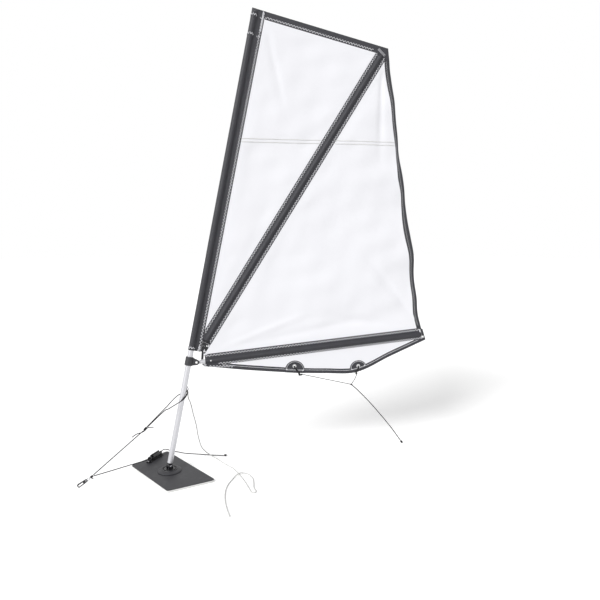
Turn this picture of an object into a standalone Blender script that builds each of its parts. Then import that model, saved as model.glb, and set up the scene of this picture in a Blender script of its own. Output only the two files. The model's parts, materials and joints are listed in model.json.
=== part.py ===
"""A small sprit sail for a canoe, on a folding mast foot and a deck plate.

Metres, +Z up, +X aft and +Y to starboard. The origin lies under the mast foot,
on the underside of the foam pad. The sail is modelled as the photograph shows
it: mast raked aft, sail swung out to port, boom rising towards the clew.

Three nested frames carry the moving pieces. The mast frame stands on the fold
pin with +Z along the mast. The sail frame turns about the mast, with +X along
the sail and +Y square to the cloth. The boom frame turns on the gooseneck pin,
with +X along the boom.
"""

import math

import bmesh
import bpy
from mathutils import Matrix, Vector

# Clearances
CLEARANCE = 0.0003
RUNNING = 0.0004
OVERRUN = 0.002

# Attitude of the rig, in degrees
MAST_RAKE = 13.6
SAIL_SWING = 30.0
BOOM_RISE = 16.3

# Foam pad and deck plate
PAD_THICK = 0.008
PAD_MARGIN = 0.003
PLATE_THICK = 0.003
PLATE_LENGTH = 0.208
PLATE_FRONT_WIDTH = 0.344
PLATE_REAR_WIDTH = 0.432
PLATE_CORNER = 0.012

# Round foot on the plate
FLANGE_RADIUS = 0.054
FLANGE_EDGE = 0.0025
FLANGE_DOME_RADIUS = 0.040
FLANGE_DOME = 0.008
FLANGE_RING_RADIUS = 0.036
FLANGE_RING = 0.011
FLANGE_RING_WIDTH = 0.004
FLANGE_FLOOR_RADIUS = 0.029
FLANGE_FLOOR = 0.006
FLANGE_SLOPE_SHARES = (0.55, 0.72)
BOLT_SHANK = 0.003
BOLT_HEAD = 0.0062
BOLT_HEAD_RIM = 0.0003
BOLT_HEAD_DEPTH = 0.0024
BOLT_ENGAGE = 0.0028

# Fork and fold pin
FORK_DISC_RADIUS = 0.025
FORK_DISC = 0.004
FORK_CHAMFER = 0.0012
CHEEK_INNER = 0.006
CHEEK_THICK = 0.006
CHEEK_RADIUS = 0.0095
CHEEK_FOOT = 0.014
CHEEK_WRAP = 10.0
PIN_RISE = 0.0125
PIN_RADIUS = 0.003
PIN_HEAD_RADIUS = 0.0056
PIN_HEAD = 0.0032
HEAD_FLAT_SHARE = 0.6
HEAD_CROWN_SHARE = 0.4
PIN_NUT_RADIUS = 0.0058
PIN_NUT = 0.005
NUT_SIDES = 6

# Mast
MAST_RADIUS = 0.0125
MAST_WALL = 0.0015
MAST_FOOT_GAP = 0.0135
MAST_LENGTH = 2.142
MAST_LOWER_LENGTH = 1.05
JOINT_LENGTH = 0.08
PLUG_RIM = 0.002
PLUG_RIM_RADIUS = 0.0132
PLUG_DEPTH = 0.032
TONGUE_RADIUS = 0.0085
MAST_CAP = 0.004
MAST_CAP_DEPTH = 0.02
MAST_CAP_FLAT_SHARE = 0.8

# Pad eye on the aft side of the mast
EYE_HEIGHT = 0.3515
EYE_BASE_LENGTH = 0.030
EYE_BASE_WIDTH = 0.010
EYE_BASE_THICK = 0.0016
EYE_CORNER_SHARE = 0.7
EYE_SPREAD = 0.0085
EYE_REACH = 0.0095
EYE_WIRE = 0.0016
EYE_BOW_SHARE = 0.8
RIVET_RADIUS = 0.0026
RIVET_HEAD = 0.0011
RIVET_SHANK_SHARE = 0.55
RIVET_CROWN_SHARE = 0.65
EYE_RIVET_SPACING = 0.0245

# Collar and gooseneck
GOOSENECK_HEIGHT = 0.4805
GOOSENECK_REACH = 0.034
COLLAR_WALL = 0.0052
COLLAR_HEIGHT = 0.040
COLLAR_CHAMFER = 0.0016
EAR_RADIUS = 0.012
EAR_THICK = 0.0042
TONGUE_WIDTH = 0.008
GOOSENECK_PIN_RADIUS = 0.0029
GOOSENECK_HEAD_RADIUS = 0.0055
GOOSENECK_HEAD = 0.0026

# Boom
BOOM_RADIUS = 0.009
BOOM_WALL = 0.0012
BOOM_TUBE_START = 0.0185
BOOM_TUBE_END = 1.104
BOOM_END_RIM = 0.003
BOOM_END_FLAT_SHARE = 0.8
BOOM_END_ROUND_SHARE = 0.6
BOOM_PLUG_DEPTH = 0.030
BOOM_TONGUE_RADIUS = 0.0075
CAP_DEPTH = 0.012
CAP_RIM = 0.003
CAP_FLAT_SHARE = 0.85

# Sprit, measured along its axis from the point beside the tack
SPRIT_HEEL_REACH = 0.0417
SPRIT_HEEL_RISE = 0.065
SPRIT_RADIUS = 0.008
SPRIT_WALL = 0.0012
SPRIT_SEAM = 0.0405
SPRIT_TUBE_START = 0.044

# Sleeves
SLEEVE_WALL = 0.0011
SEAM_THICK = 0.0024
LUFF_FOOT_RISE = 0.051
LUFF_TAIL = 0.044
LUFF_TAIL_HEAD = 0.052
SLEEVE_CLOSE = 0.003
SPRIT_SLEEVE_HALF = 0.029
HEEL_SIDE = 0.009
BOOM_SLEEVE_START = 0.040
BOOM_SLEEVE_PAST = 0.014
BOOM_SLEEVE_UP = 0.032
BOOM_SLEEVE_DOWN = 0.024
BOOM_SLEEVE_NOSE_DOWN = 0.0115
BOOM_SLEEVE_NOSE = 0.080

# Cloth
CLOTH_THICK = 0.0010
BAND_THICK = 0.0018
HEAD_CLOSE = 0.014
HEAD_BAND = 0.040
PEAK_REACH = 0.682
PEAK_PATCH = 0.024
PANEL_TOP = 0.0058
LEECH_BAND = 0.019
LEECH_PAST = 0.012
LEECH_HOLLOW = 0.018
FOOT_BAND = 0.024
FOOT_DEPTH = 0.146
FOOT_START = 0.0255
FOOT_PAST = 0.0235
FOOT_TIP = 0.005
CLEW_TOP_SETBACK = 0.0095
CLEW_TOP = 0.026
CLEW_OVERLAP = 0.006
PATCH_THICK = 0.0010
PATCH_RISE = 0.009
FORE_PATCH_AT = 0.455
FORE_PATCH_RADIUS = 0.0485
FORE_EYELET_RISE = 0.022
FORE_KNOT_SHIFT = 0.026
FORE_KNOT_LENGTH = 0.022
AFT_PATCH_AT = 0.773
AFT_PATCH_RADIUS = 0.043
AFT_EYELET_RISE = 0.010
AFT_KNOT_SHIFT = -0.0125
AFT_KNOT_LENGTH = 0.010

# Eyelets
EYELET_HOLE = 0.0042
EYELET_BARREL = 0.0055
EYELET_FLANGE = 0.009
EYELET_LIP = 0.001
CLEW_EYELET_SCALE = 0.7
CLEW_EYELET_SETBACK = 0.013
CLEW_EYELET_DROP = 0.0135

# Strap from the heel of the sprit to the boom
STRAP_WIDTH = 0.009
STRAP_THICK = 0.0018
STRAP_REACH = 0.056

# Cleat
CLEAT_AT = (0.0135, 0.170)
CLEAT_TURN = 28.0
CLEAT_LENGTH = 0.112
CLEAT_WIDTH = 0.024
CLEAT_BASE = 0.005
CLEAT_HEIGHT = 0.025
CLEAT_CORNER_SHARE = 0.5
JAW_LENGTH = 0.066
JAW_SHIFT = 0.010
JAW_MOUTH = 0.0062
JAW_ROOT = 0.0016
JAW_ROOT_HEIGHT = 0.011
JAW_TOOTH = 0.0005
JAW_TEETH = 9
JAW_STEP = 0.0009
JAW_SHOULDER = 0.005
FAIRLEAD_THICK = 0.009
FAIRLEAD_REACH = 0.0153
FAIRLEAD_HOLE = 0.0045
FAIRLEAD_SIDE_SHARE = 0.85
LINE_HEIGHT = 0.0138
LUG_SCREW_HEAD = 0.0042
LUG_SCREW_HEAD_HEIGHT = 0.0022
LUG_SCREW_SHANK = 0.002
LUG_SCREW_REACH = 0.0065
LUG_SCREW_INSET = 0.0075

# Bow fittings, in a row along the line of the forestay
BOW_KNOT_AT = (-0.345, 0.0, 0.0915)
BOW_DROP = 23.0
KNOT_RADIUS = 0.005
KNOT_LENGTH = 0.014
KNOT_END_SHARE = 0.62
KNOT_RIB_SHARE = 0.14
RING_RADIUS = 0.008
RING_WIRE = 0.0012
RING_SIDES = 6
RING_STEPS = 18
HOOK_LENGTH = 0.044
HOOK_WIDTH = 0.016
HOOK_THICK = 0.0064
HOOK_EYE = 0.0034
HOOK_EYE_AT = 0.006
HOOK_SLOT_START = 0.0135
HOOK_RIM = 0.0036
HOOK_BACK_WRAP = 20.0
HOOK_CORNER_SHARE = 0.8
GATE_REST_SHARE = 0.6
GATE_PIN_SHARE = 0.2
GATE_THICK = 0.003
GATE_WIDTH = 0.0032
GATE_PIN = 0.0009
GATE_FREE = 0.0004

# Cords
STAY_CORD = 0.004
SHEET_CORD = 0.004
LASHING_CORD = 0.0026
BRIDLE_CORD = 0.003
WHITE_CORD = 0.005
SLEEVE_CORD_WALL = 0.0016
SLEEVE_CORD_FREE = 0.0007
ADJUSTER_FOOT = (-0.119, 0.0, 0.2285)
ADJUSTER_RUN = (0.818, 0.0, 0.575)
ADJUSTER_LENGTH = 0.020
ADJUSTER_RADIUS = 0.0055
TAIL_SHARE = 0.9
SMALL_KNOT_RADIUS = 0.0042
SMALL_KNOT_LENGTH = 0.010
LASHING_SIDE_SHARE = 0.52
KNOT_DROP = 0.0095

# Facets
ROUND_STEPS = 24
FLANGE_STEPS = 40
SMALL_STEPS = 12
ARC_STEPS = 8
ROUTE_STEPS = 20
LEECH_STEPS = 24
CORD_SPACING = 3.0
LONG_CORD_SPACING = 4.0
LASHING_SPACING = 2.0
SHARP_ANGLE = 35.0
MERGE_SHARE = 0.01

# Heights and places that follow from the sizes above
PLATE_TOP = PAD_THICK + CLEARANCE + PLATE_THICK
FLANGE_BASE = PLATE_TOP + CLEARANCE
FORK_BASE = FLANGE_BASE + FLANGE_FLOOR + CLEARANCE
PIN_HEIGHT = FORK_BASE + FORK_DISC + PIN_RISE
MAST_TOP = MAST_FOOT_GAP + MAST_LENGTH
MAST_JOINT = MAST_FOOT_GAP + MAST_LOWER_LENGTH
MAST_BORE = MAST_RADIUS - MAST_WALL
SLEEVE_BORE = MAST_RADIUS + RUNNING
LUFF_FOOT = GOOSENECK_HEIGHT + LUFF_FOOT_RISE
HEAD_TOP = MAST_TOP + MAST_CAP + HEAD_CLOSE
SPRIT_HEEL_HEIGHT = GOOSENECK_HEIGHT + SPRIT_HEEL_RISE
BOOM_SLEEVE_END = BOOM_TUBE_END + BOOM_SLEEVE_PAST
LEECH_FOOT = BOOM_SLEEVE_END + LEECH_PAST
FOOT_END = BOOM_SLEEVE_END + FOOT_PAST


def flat(vector_2d):
    """A point of the sail or boom plane as a 3-D point, with no height off the cloth."""
    return Vector((vector_2d[0], 0.0, vector_2d[1]))


def material(name, colour, roughness, metallic):
    """A Principled material with one colour."""
    made = bpy.data.materials.new(name)
    made.use_nodes = True
    shader = made.node_tree.nodes["Principled BSDF"]
    shader.inputs["Base Color"].default_value = (*colour, 1.0)
    shader.inputs["Roughness"].default_value = roughness
    shader.inputs["Metallic"].default_value = metallic
    made.diffuse_color = (*colour, 1.0)
    return made


def frame(name, parent, matrix):
    """An empty that carries other objects."""
    made = bpy.data.objects.new(name, None)
    bpy.context.scene.collection.objects.link(made)
    made.parent = parent
    made.matrix_basis = matrix
    return made


def link(name, data, look, parent):
    """The object of a mesh or a curve, in the frame that carries it."""
    data.materials.append(look)
    made = bpy.data.objects.new(name, data)
    bpy.context.scene.collection.objects.link(made)
    made.parent = parent
    return made


def mesh_object(name, bm, look, parent, smooth=True):
    """Closes a bmesh into an object with its faces pointing out."""
    bmesh.ops.recalc_face_normals(bm, faces=bm.faces)
    mesh = bpy.data.meshes.new(name)
    bm.to_mesh(mesh)
    bm.free()
    if smooth:
        mesh.shade_smooth()
        mesh.set_sharp_from_angle(angle=math.radians(SHARP_ANGLE))
    return link(name, mesh, look, parent)


def lathe(name, profile, look, parent, place=None, steps=ROUND_STEPS):
    """Turns (radius, height) points about Z. Points on the axis close the ends."""
    bm = bmesh.new()
    points = [bm.verts.new((radius, 0.0, height)) for radius, height in profile]
    on_axis = profile[0][0] == 0 and profile[-1][0] == 0
    pairs = list(zip(points, points[1:]))
    if not on_axis:
        pairs.append((points[-1], points[0]))
    edges = [bm.edges.new(pair) for pair in pairs]
    bmesh.ops.spin(
        bm,
        geom=points + edges,
        cent=(0, 0, 0),
        axis=(0, 0, 1),
        angle=math.tau,
        steps=steps,
        use_merge=True,
    )
    bmesh.ops.remove_doubles(bm, verts=bm.verts, dist=CLEARANCE * MERGE_SHARE)
    if place is not None:
        bmesh.ops.transform(bm, matrix=place, verts=bm.verts)
    return mesh_object(name, bm, look, parent)


def prism(name, outline, low, high, look, parent, place=None):
    """Extrudes a closed outline of (x, y) points from one height to another."""
    bm = bmesh.new()
    base = bm.faces.new([bm.verts.new((x, y, low)) for x, y in outline])
    grown = bmesh.ops.extrude_face_region(bm, geom=[base])
    top = [item for item in grown["geom"] if isinstance(item, bmesh.types.BMVert)]
    bmesh.ops.translate(bm, vec=(0, 0, high - low), verts=top)
    if place is not None:
        bmesh.ops.transform(bm, matrix=place, verts=bm.verts)
    return mesh_object(name, bm, look, parent)


def loft(name, sections, look, parent):
    """Skins sections that hold the same number of points, and closes both ends."""
    bm = bmesh.new()
    rings = [[bm.verts.new(point) for point in section] for section in sections]
    count = len(rings[0])
    for ring, after in zip(rings, rings[1:]):
        for i in range(count):
            j = (i + 1) % count
            bm.faces.new((ring[i], ring[j], after[j], after[i]))
    bm.faces.new(rings[0])
    bm.faces.new(rings[-1])
    return mesh_object(name, bm, look, parent)


def helper(cutter):
    """Hides a shape that only cuts or joins another."""
    cutter.hide_render = True
    cutter.display_type = "WIRE"
    return cutter


def cut(piece, cutter):
    """Takes the cutter out of the piece."""
    boolean = piece.modifiers.new("cut by " + cutter.name, "BOOLEAN")
    boolean.operation = "DIFFERENCE"
    boolean.solver = "EXACT"
    boolean.object = helper(cutter)


def join(piece, other):
    """Adds the other shape to the piece."""
    boolean = piece.modifiers.new("join " + other.name, "BOOLEAN")
    boolean.operation = "UNION"
    boolean.solver = "EXACT"
    boolean.object = helper(other)


def along_y(at=(0, 0, 0)):
    """Puts a shape that was made about Z about the Y axis, through a point."""
    return Matrix.Translation(at) @ Matrix.Rotation(math.radians(-90), 4, "X")


def along_x(at=(0, 0, 0)):
    """Puts a shape that was made about Z about the X axis, through a point."""
    return Matrix.Translation(at) @ Matrix.Rotation(math.radians(90), 4, "Y")


def aimed(at, direction):
    """Puts a shape that was made about Z about any direction, through a point."""
    turn = Vector((0, 0, 1)).rotation_difference(Vector(direction).normalized())
    return Matrix.Translation(at) @ turn.to_matrix().to_4x4()


def rod_profile(radius, low, high):
    """The profile of a plain solid rod."""
    return [(0.0, low), (radius, low), (radius, high), (0.0, high)]


def tube_profile(radius, wall, low, high):
    """The profile of a plain tube."""
    inner = radius - wall
    return [(radius, low), (radius, high), (inner, high), (inner, low)]


def rounded(corners, radius, steps=ARC_STEPS):
    """An outline whose corners are rounded by arcs that touch both sides."""
    outline = []
    count = len(corners)
    for i, corner in enumerate(corners):
        point = Vector(corner)
        before = (Vector(corners[i - 1]) - point).normalized()
        after = (Vector(corners[(i + 1) % count]) - point).normalized()
        half = before.angle(after) / 2
        centre = point + (before + after).normalized() * (radius / math.sin(half))
        start = point + before * (radius / math.tan(half)) - centre
        end = point + after * (radius / math.tan(half)) - centre
        sweep = start.angle_signed(end)
        for k in range(steps + 1):
            outline.append(centre + start @ Matrix.Rotation(sweep * k / steps, 2))
    return outline


def arc(centre, radius, start, end, steps=ARC_STEPS):
    """Points on a circle, from one angle in degrees to another."""
    angles = [math.radians(start + (end - start) * k / steps) for k in range(steps + 1)]
    return [(centre[0] + radius * math.cos(a), centre[1] + radius * math.sin(a)) for a in angles]


def meet(line_a, line_b):
    """The point where two lines of a plane cross, each a point and a direction."""
    (start_a, run_a), (start_b, run_b) = line_a, line_b
    across = run_a[0] * run_b[1] - run_a[1] * run_b[0]
    apart = start_b - start_a
    share = (apart[0] * run_b[1] - apart[1] * run_b[0]) / across
    return start_a + run_a * share


def shifted(line, distance):
    """The line moved to the right of its own direction."""
    start, run = line
    return start + Vector((run[1], -run[0])).normalized() * distance, run


def blend_table(table, share):
    """Reads a table of (share, value) pairs between its rows."""
    for (low, first), (high, second) in zip(table, table[1:]):
        if share <= high:
            return first + (second - first) * (share - low) / (high - low)
    return table[-1][1]


def smooth_route(route, spacing):
    """Even points on a Catmull-Rom curve through the points of a cord's route."""
    knots = [Vector(point) for point in route]
    knots = [knots[0] * 2 - knots[1]] + knots + [knots[-1] * 2 - knots[-2]]
    fine = []
    for before, start, end, after in zip(knots, knots[1:], knots[2:], knots[3:]):
        for k in range(ROUTE_STEPS):
            t = k / ROUTE_STEPS
            fine.append(
                0.5
                * (
                    start * 2
                    + (end - before) * t
                    + (before * 2 - start * 5 + end * 4 - after) * t * t
                    + (start * 3 - before - end * 3 + after) * t * t * t
                )
            )
    fine.append(knots[-2])
    lengths = [0.0]
    for first, second in zip(fine, fine[1:]):
        lengths.append(lengths[-1] + (second - first).length)
    count = max(2, round(lengths[-1] / spacing))
    points = []
    place = 0
    for k in range(count + 1):
        wanted = lengths[-1] * k / count
        while place < len(fine) - 2 and lengths[place + 1] < wanted:
            place += 1
        share = (wanted - lengths[place]) / (lengths[place + 1] - lengths[place])
        points.append(fine[place].lerp(fine[place + 1], min(1.0, share)))
    return points


def cord(name, route, diameter, look, parent, spacing_diameters=CORD_SPACING):
    """A round cord along a smooth curve through its route."""
    curve = bpy.data.curves.new(name, "CURVE")
    curve.dimensions = "3D"
    curve.bevel_depth = diameter / 2
    curve.bevel_resolution = 2
    curve.use_fill_caps = True
    points = smooth_route(route, diameter * spacing_diameters)
    spline = curve.splines.new("POLY")
    spline.points.add(len(points) - 1)
    for target, point in zip(spline.points, points):
        target.co = (*point, 1.0)
    return link(name, curve, look, parent)


def knot_width(radius, turns, share):
    """Radius of a ribbed barrel at a share of its length."""
    barrel = KNOT_END_SHARE + (1.0 - KNOT_END_SHARE) * math.sin(math.pi * share)
    rib = 1.0 - KNOT_RIB_SHARE * (0.5 + 0.5 * math.cos(math.tau * turns * share))
    return radius * barrel * rib


def knot_profile(radius, length, turns):
    """A ribbed barrel, as a knot of a few round turns looks from a step away."""
    shares = [k / (turns * 3) for k in range(turns * 3 + 1)]
    ribs = [(knot_width(radius, turns, share), length * share) for share in shares]
    return [(0.0, 0.0)] + ribs + [(0.0, length)]


def knot(name, start, direction, length, radius, turns, look, parent):
    """A knot that begins at a point and runs along a direction."""
    profile = knot_profile(radius, length, turns)
    return lathe(name, profile, look, parent, aimed(start, direction), SMALL_STEPS)


def plate_half_width(x, margin=0.0):
    """Half the width of the deck plate at a place along the boat."""
    share = (x + PLATE_LENGTH / 2) / PLATE_LENGTH
    return (PLATE_FRONT_WIDTH + (PLATE_REAR_WIDTH - PLATE_FRONT_WIDTH) * share) / 2 + margin


def plate_outline(margin):
    """The deck plate's outline, grown by a margin on every side."""
    half = PLATE_LENGTH / 2 + margin
    front = plate_half_width(-half, margin)
    rear = plate_half_width(half, margin)
    corners = [(-half, -front), (half, -rear), (half, rear), (-half, front)]
    return rounded(corners, PLATE_CORNER + margin)


def bolt_profile(free):
    """The countersunk bolt that points up, its head flush with the plate's underside."""
    base = PAD_THICK + CLEARANCE
    shoulder = base + BOLT_HEAD_RIM
    top = FORK_BASE + BOLT_ENGAGE + free
    return [
        (0.0, base - free * 2),
        (BOLT_HEAD + free, base - free * 2),
        (BOLT_HEAD + free, shoulder),
        (BOLT_SHANK + free, shoulder + BOLT_HEAD_DEPTH + free),
        (BOLT_SHANK + free, top),
        (0.0, top),
    ]


def make_deck_plate(looks):
    """The foam pad, the plate on it and the bolt that comes up through the foot."""
    prism("foam_pad", plate_outline(PAD_MARGIN), 0, PAD_THICK, looks["foam"], None)
    low = PAD_THICK + CLEARANCE
    plate = prism("base_plate", plate_outline(0), low, PLATE_TOP, looks["plate"], None)
    lathe("foot_bolt", bolt_profile(0), looks["steel"], None)
    bore = lathe("foot_bolt_bore", bolt_profile(CLEARANCE), looks["steel"], None)
    cut(plate, bore)
    return bore


def make_foot_flange(looks, bore):
    """The domed round foot with its raised ring and the recess for the fork."""
    ring_inner = FLANGE_RING_RADIUS - FLANGE_RING_WIDTH
    out_share, up_share = FLANGE_SLOPE_SHARES
    slope = FLANGE_DOME_RADIUS + (FLANGE_RADIUS - FLANGE_DOME_RADIUS) * out_share
    profile = [
        (0.0, 0.0),
        (FLANGE_RADIUS, 0.0),
        (FLANGE_RADIUS, FLANGE_EDGE),
        (slope, FLANGE_DOME * up_share),
        (FLANGE_DOME_RADIUS, FLANGE_DOME),
        (FLANGE_RING_RADIUS, FLANGE_DOME),
        (FLANGE_RING_RADIUS, FLANGE_RING - FORK_CHAMFER),
        (FLANGE_RING_RADIUS - FORK_CHAMFER, FLANGE_RING),
        (ring_inner, FLANGE_RING),
        (FLANGE_FLOOR_RADIUS, FLANGE_FLOOR),
        (0.0, FLANGE_FLOOR),
    ]
    base = Matrix.Translation((0, 0, FLANGE_BASE))
    flange = lathe("foot_flange", profile, looks["black_plastic"], None, base, FLANGE_STEPS)
    cut(flange, bore)


def cheek_outline(radius, foot_half, drop):
    """A cheek: straight foot, sides that rise to a round head about the pin."""
    head = arc((0, 0), radius, -CHEEK_WRAP, 180 + CHEEK_WRAP, ARC_STEPS * 2)
    return head + [(-foot_half, -drop), (foot_half, -drop)]


def make_foot_fork(looks, bore):
    """The fork that stands in the flange, and its pin with head and nut."""
    disc = [
        (0.0, 0.0),
        (FORK_DISC_RADIUS, 0.0),
        (FORK_DISC_RADIUS, FORK_DISC - FORK_CHAMFER),
        (FORK_DISC_RADIUS - FORK_CHAMFER, FORK_DISC),
        (0.0, FORK_DISC),
    ]
    base = Matrix.Translation((0, 0, FORK_BASE))
    fork = lathe("foot_fork", disc, looks["gloss_black"], None, base, ROUND_STEPS)
    outer = CHEEK_INNER + CHEEK_THICK
    outline = cheek_outline(CHEEK_RADIUS, CHEEK_FOOT, PIN_RISE + FORK_DISC / 2)
    for side, name in ((-1, "cheek_port"), (1, "cheek_starboard")):
        low, high = sorted((side * CHEEK_INNER, side * outer))
        place = Matrix.Translation((0, 0, PIN_HEIGHT)) @ Matrix.Rotation(math.radians(90), 4, "X")
        cheek = prism(name, outline, low, high, looks["gloss_black"], None, place)
        join(fork, cheek)
    cut(fork, bore)
    hole = rod_profile(PIN_RADIUS + CLEARANCE, -outer - OVERRUN, outer + OVERRUN)
    place = along_y((0, 0, PIN_HEIGHT))
    cut(fork, lathe("fork_pin_hole", hole, looks["steel"], None, place, ROUND_STEPS))

    face = outer + CLEARANCE
    profile = [
        (0.0, -face - PIN_HEAD),
        (PIN_HEAD_RADIUS * HEAD_FLAT_SHARE, -face - PIN_HEAD),
        (PIN_HEAD_RADIUS, -face - PIN_HEAD * HEAD_CROWN_SHARE),
        (PIN_HEAD_RADIUS, -face),
        (PIN_RADIUS, -face),
        (PIN_RADIUS, face + PIN_NUT + OVERRUN),
        (0.0, face + PIN_NUT + OVERRUN),
    ]
    lathe("fold_pin", profile, looks["steel"], None, place, ROUND_STEPS)
    wall = PIN_NUT_RADIUS - PIN_RADIUS - CLEARANCE
    nut = tube_profile(PIN_NUT_RADIUS, wall, face, face + PIN_NUT)
    nut_piece = lathe("fold_nut", nut, looks["steel"], None, place, NUT_SIDES)
    nut_hole = rod_profile(PIN_RADIUS + CLEARANCE, face - OVERRUN, face + PIN_NUT + OVERRUN)
    cut(nut_piece, lathe("fold_nut_bore", nut_hole, looks["steel"], None, place, SMALL_STEPS))


def cleat_matrix():
    """Places the cleat on the plate, turned into the line of the cord."""
    turn = Matrix.Rotation(math.radians(CLEAT_TURN), 4, "Z")
    return Matrix.Translation((*CLEAT_AT, PLATE_TOP + CLEARANCE)) @ turn


def make_cleat(looks):
    """The jamming cleat: base with two lugs, toothed jaws and a fairlead in front."""
    on_plate = frame("cleat_frame", None, cleat_matrix())
    half = CLEAT_LENGTH / 2
    side = CLEAT_WIDTH / 2
    corners = [(-half, -side), (half, -side), (half, side), (-half, side)]
    base = rounded(corners, side * CLEAT_CORNER_SHARE, ARC_STEPS // 2)
    cleat = prism("cleat_body", base, 0, CLEAT_BASE, looks["gloss_black"], on_plate)

    jaw_start = JAW_SHIFT - JAW_LENGTH / 2
    jaw_side = side - JAW_STEP
    shoulder = CLEAT_HEIGHT - JAW_SHOULDER
    sections = []
    for k in range(JAW_TEETH * 2 + 1):
        x = jaw_start + JAW_LENGTH * k / (JAW_TEETH * 2)
        tooth = JAW_TOOTH if k % 2 else 0.0
        mouth = JAW_MOUTH - tooth
        low = CLEAT_BASE / 2
        shape = [
            (-jaw_side, low),
            (jaw_side, low),
            (jaw_side, shoulder),
            (jaw_side - JAW_SHOULDER / 2, CLEAT_HEIGHT),
            (mouth, CLEAT_HEIGHT),
            (JAW_ROOT, JAW_ROOT_HEIGHT),
            (-JAW_ROOT, JAW_ROOT_HEIGHT),
            (-mouth, CLEAT_HEIGHT),
            (JAW_SHOULDER / 2 - jaw_side, CLEAT_HEIGHT),
            (-jaw_side, shoulder),
        ]
        sections.append([(x, y, z) for y, z in shape])
    join(cleat, loft("cleat_jaws", sections, looks["gloss_black"], on_plate))

    lead_at = jaw_start - FAIRLEAD_REACH
    lead_side = side * FAIRLEAD_SIDE_SHARE
    head = arc((0, LINE_HEIGHT), lead_side, 0, 180, ARC_STEPS * 2)
    lead_outline = head + [(-lead_side, CLEAT_BASE / 2), (lead_side, CLEAT_BASE / 2)]
    upright = Matrix.Translation((lead_at, 0, 0)) @ Matrix.Rotation(math.radians(90), 4, "Z")
    upright = upright @ Matrix.Rotation(math.radians(90), 4, "X")
    half_lead = FAIRLEAD_THICK / 2
    look = looks["gloss_black"]
    join(cleat, prism("cleat_lead", lead_outline, -half_lead, half_lead, look, on_plate, upright))
    bore = rod_profile(FAIRLEAD_HOLE, -half_lead - OVERRUN, half_lead + OVERRUN)
    place = along_x((lead_at, 0, LINE_HEIGHT))
    cut(cleat, lathe("cleat_lead_bore", bore, look, on_plate, place, SMALL_STEPS))

    for name, x in (("fore", -half + LUG_SCREW_INSET), ("aft", half - LUG_SCREW_INSET)):
        top = CLEAT_BASE + CLEARANCE
        screw = [
            (0.0, CLEAT_BASE - LUG_SCREW_REACH),
            (LUG_SCREW_SHANK, CLEAT_BASE - LUG_SCREW_REACH),
            (LUG_SCREW_SHANK, top),
            (LUG_SCREW_HEAD, top),
            (LUG_SCREW_HEAD, top + LUG_SCREW_HEAD_HEIGHT * HEAD_CROWN_SHARE),
            (LUG_SCREW_HEAD * HEAD_FLAT_SHARE, top + LUG_SCREW_HEAD_HEIGHT),
            (0.0, top + LUG_SCREW_HEAD_HEIGHT),
        ]
        at = Matrix.Translation((x, 0, 0))
        lathe("cleat_screw_" + name, screw, looks["steel"], on_plate, at, SMALL_STEPS)
        hole = rod_profile(LUG_SCREW_SHANK + CLEARANCE, -PLATE_THICK - OVERRUN, CLEAT_BASE + OVERRUN)
        hole_piece = lathe("cleat_hole_" + name, hole, look, on_plate, at, SMALL_STEPS)
        cut(cleat, hole_piece)
        cut(bpy.data.objects["base_plate"], hole_piece)


def make_mast(looks, mast):
    """Plug with the tongue, two tubes that slip together at a swaged joint, and the cap."""
    spigot = MAST_BORE - CLEARANCE
    low = MAST_FOOT_GAP - CLEARANCE
    profile = [
        (0.0, low - PLUG_RIM),
        (PLUG_RIM_RADIUS, low - PLUG_RIM),
        (PLUG_RIM_RADIUS, low),
        (spigot, low),
        (spigot, low + PLUG_DEPTH),
        (0.0, low + PLUG_DEPTH),
    ]
    plug = lathe("mast_plug", profile, looks["black_plastic"], mast)
    tongue = CHEEK_INNER - CLEARANCE
    outline = arc((0, 0), TONGUE_RADIUS, 180, 360, ARC_STEPS * 2)
    outline += [(TONGUE_RADIUS, low - PLUG_RIM / 2), (-TONGUE_RADIUS, low - PLUG_RIM / 2)]
    upright = Matrix.Rotation(math.radians(90), 4, "X")
    join(plug, prism("plug_tongue", outline, -tongue, tongue, looks["black_plastic"], mast, upright))
    bore = rod_profile(PIN_RADIUS + CLEARANCE, -tongue - OVERRUN, tongue + OVERRUN)
    cut(plug, lathe("plug_bore", bore, looks["steel"], mast, along_y(), ROUND_STEPS))

    joint = MAST_JOINT
    neck = joint + JOINT_LENGTH
    lower_tube = [
        (MAST_RADIUS, MAST_FOOT_GAP),
        (MAST_RADIUS, joint),
        (spigot, joint),
        (spigot, neck),
        (spigot - MAST_WALL, neck),
        (spigot - MAST_WALL, joint - MAST_WALL),
        (MAST_BORE, joint - MAST_WALL * 2),
        (MAST_BORE, MAST_FOOT_GAP),
    ]
    lathe("mast_lower_tube", lower_tube, looks["aluminium"], mast)
    upper_tube = tube_profile(MAST_RADIUS, MAST_WALL, joint + CLEARANCE, MAST_TOP)
    lathe("mast_upper_tube", upper_tube, looks["aluminium"], mast)
    cap = [
        (0.0, MAST_TOP - MAST_CAP_DEPTH),
        (spigot, MAST_TOP - MAST_CAP_DEPTH),
        (spigot, MAST_TOP + CLEARANCE),
        (MAST_RADIUS, MAST_TOP + CLEARANCE),
        (MAST_RADIUS * MAST_CAP_FLAT_SHARE, MAST_TOP + MAST_CAP),
        (0.0, MAST_TOP + MAST_CAP),
    ]
    lathe("mast_cap", cap, looks["black_plastic"], mast)


def eye_bow():
    """Where the pad eye's legs end and its bow starts, and how far the bow stands out."""
    bow = EYE_SPREAD * EYE_BOW_SHARE
    return MAST_RADIUS + CLEARANCE + EYE_BASE_THICK + EYE_REACH - bow, bow


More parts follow.
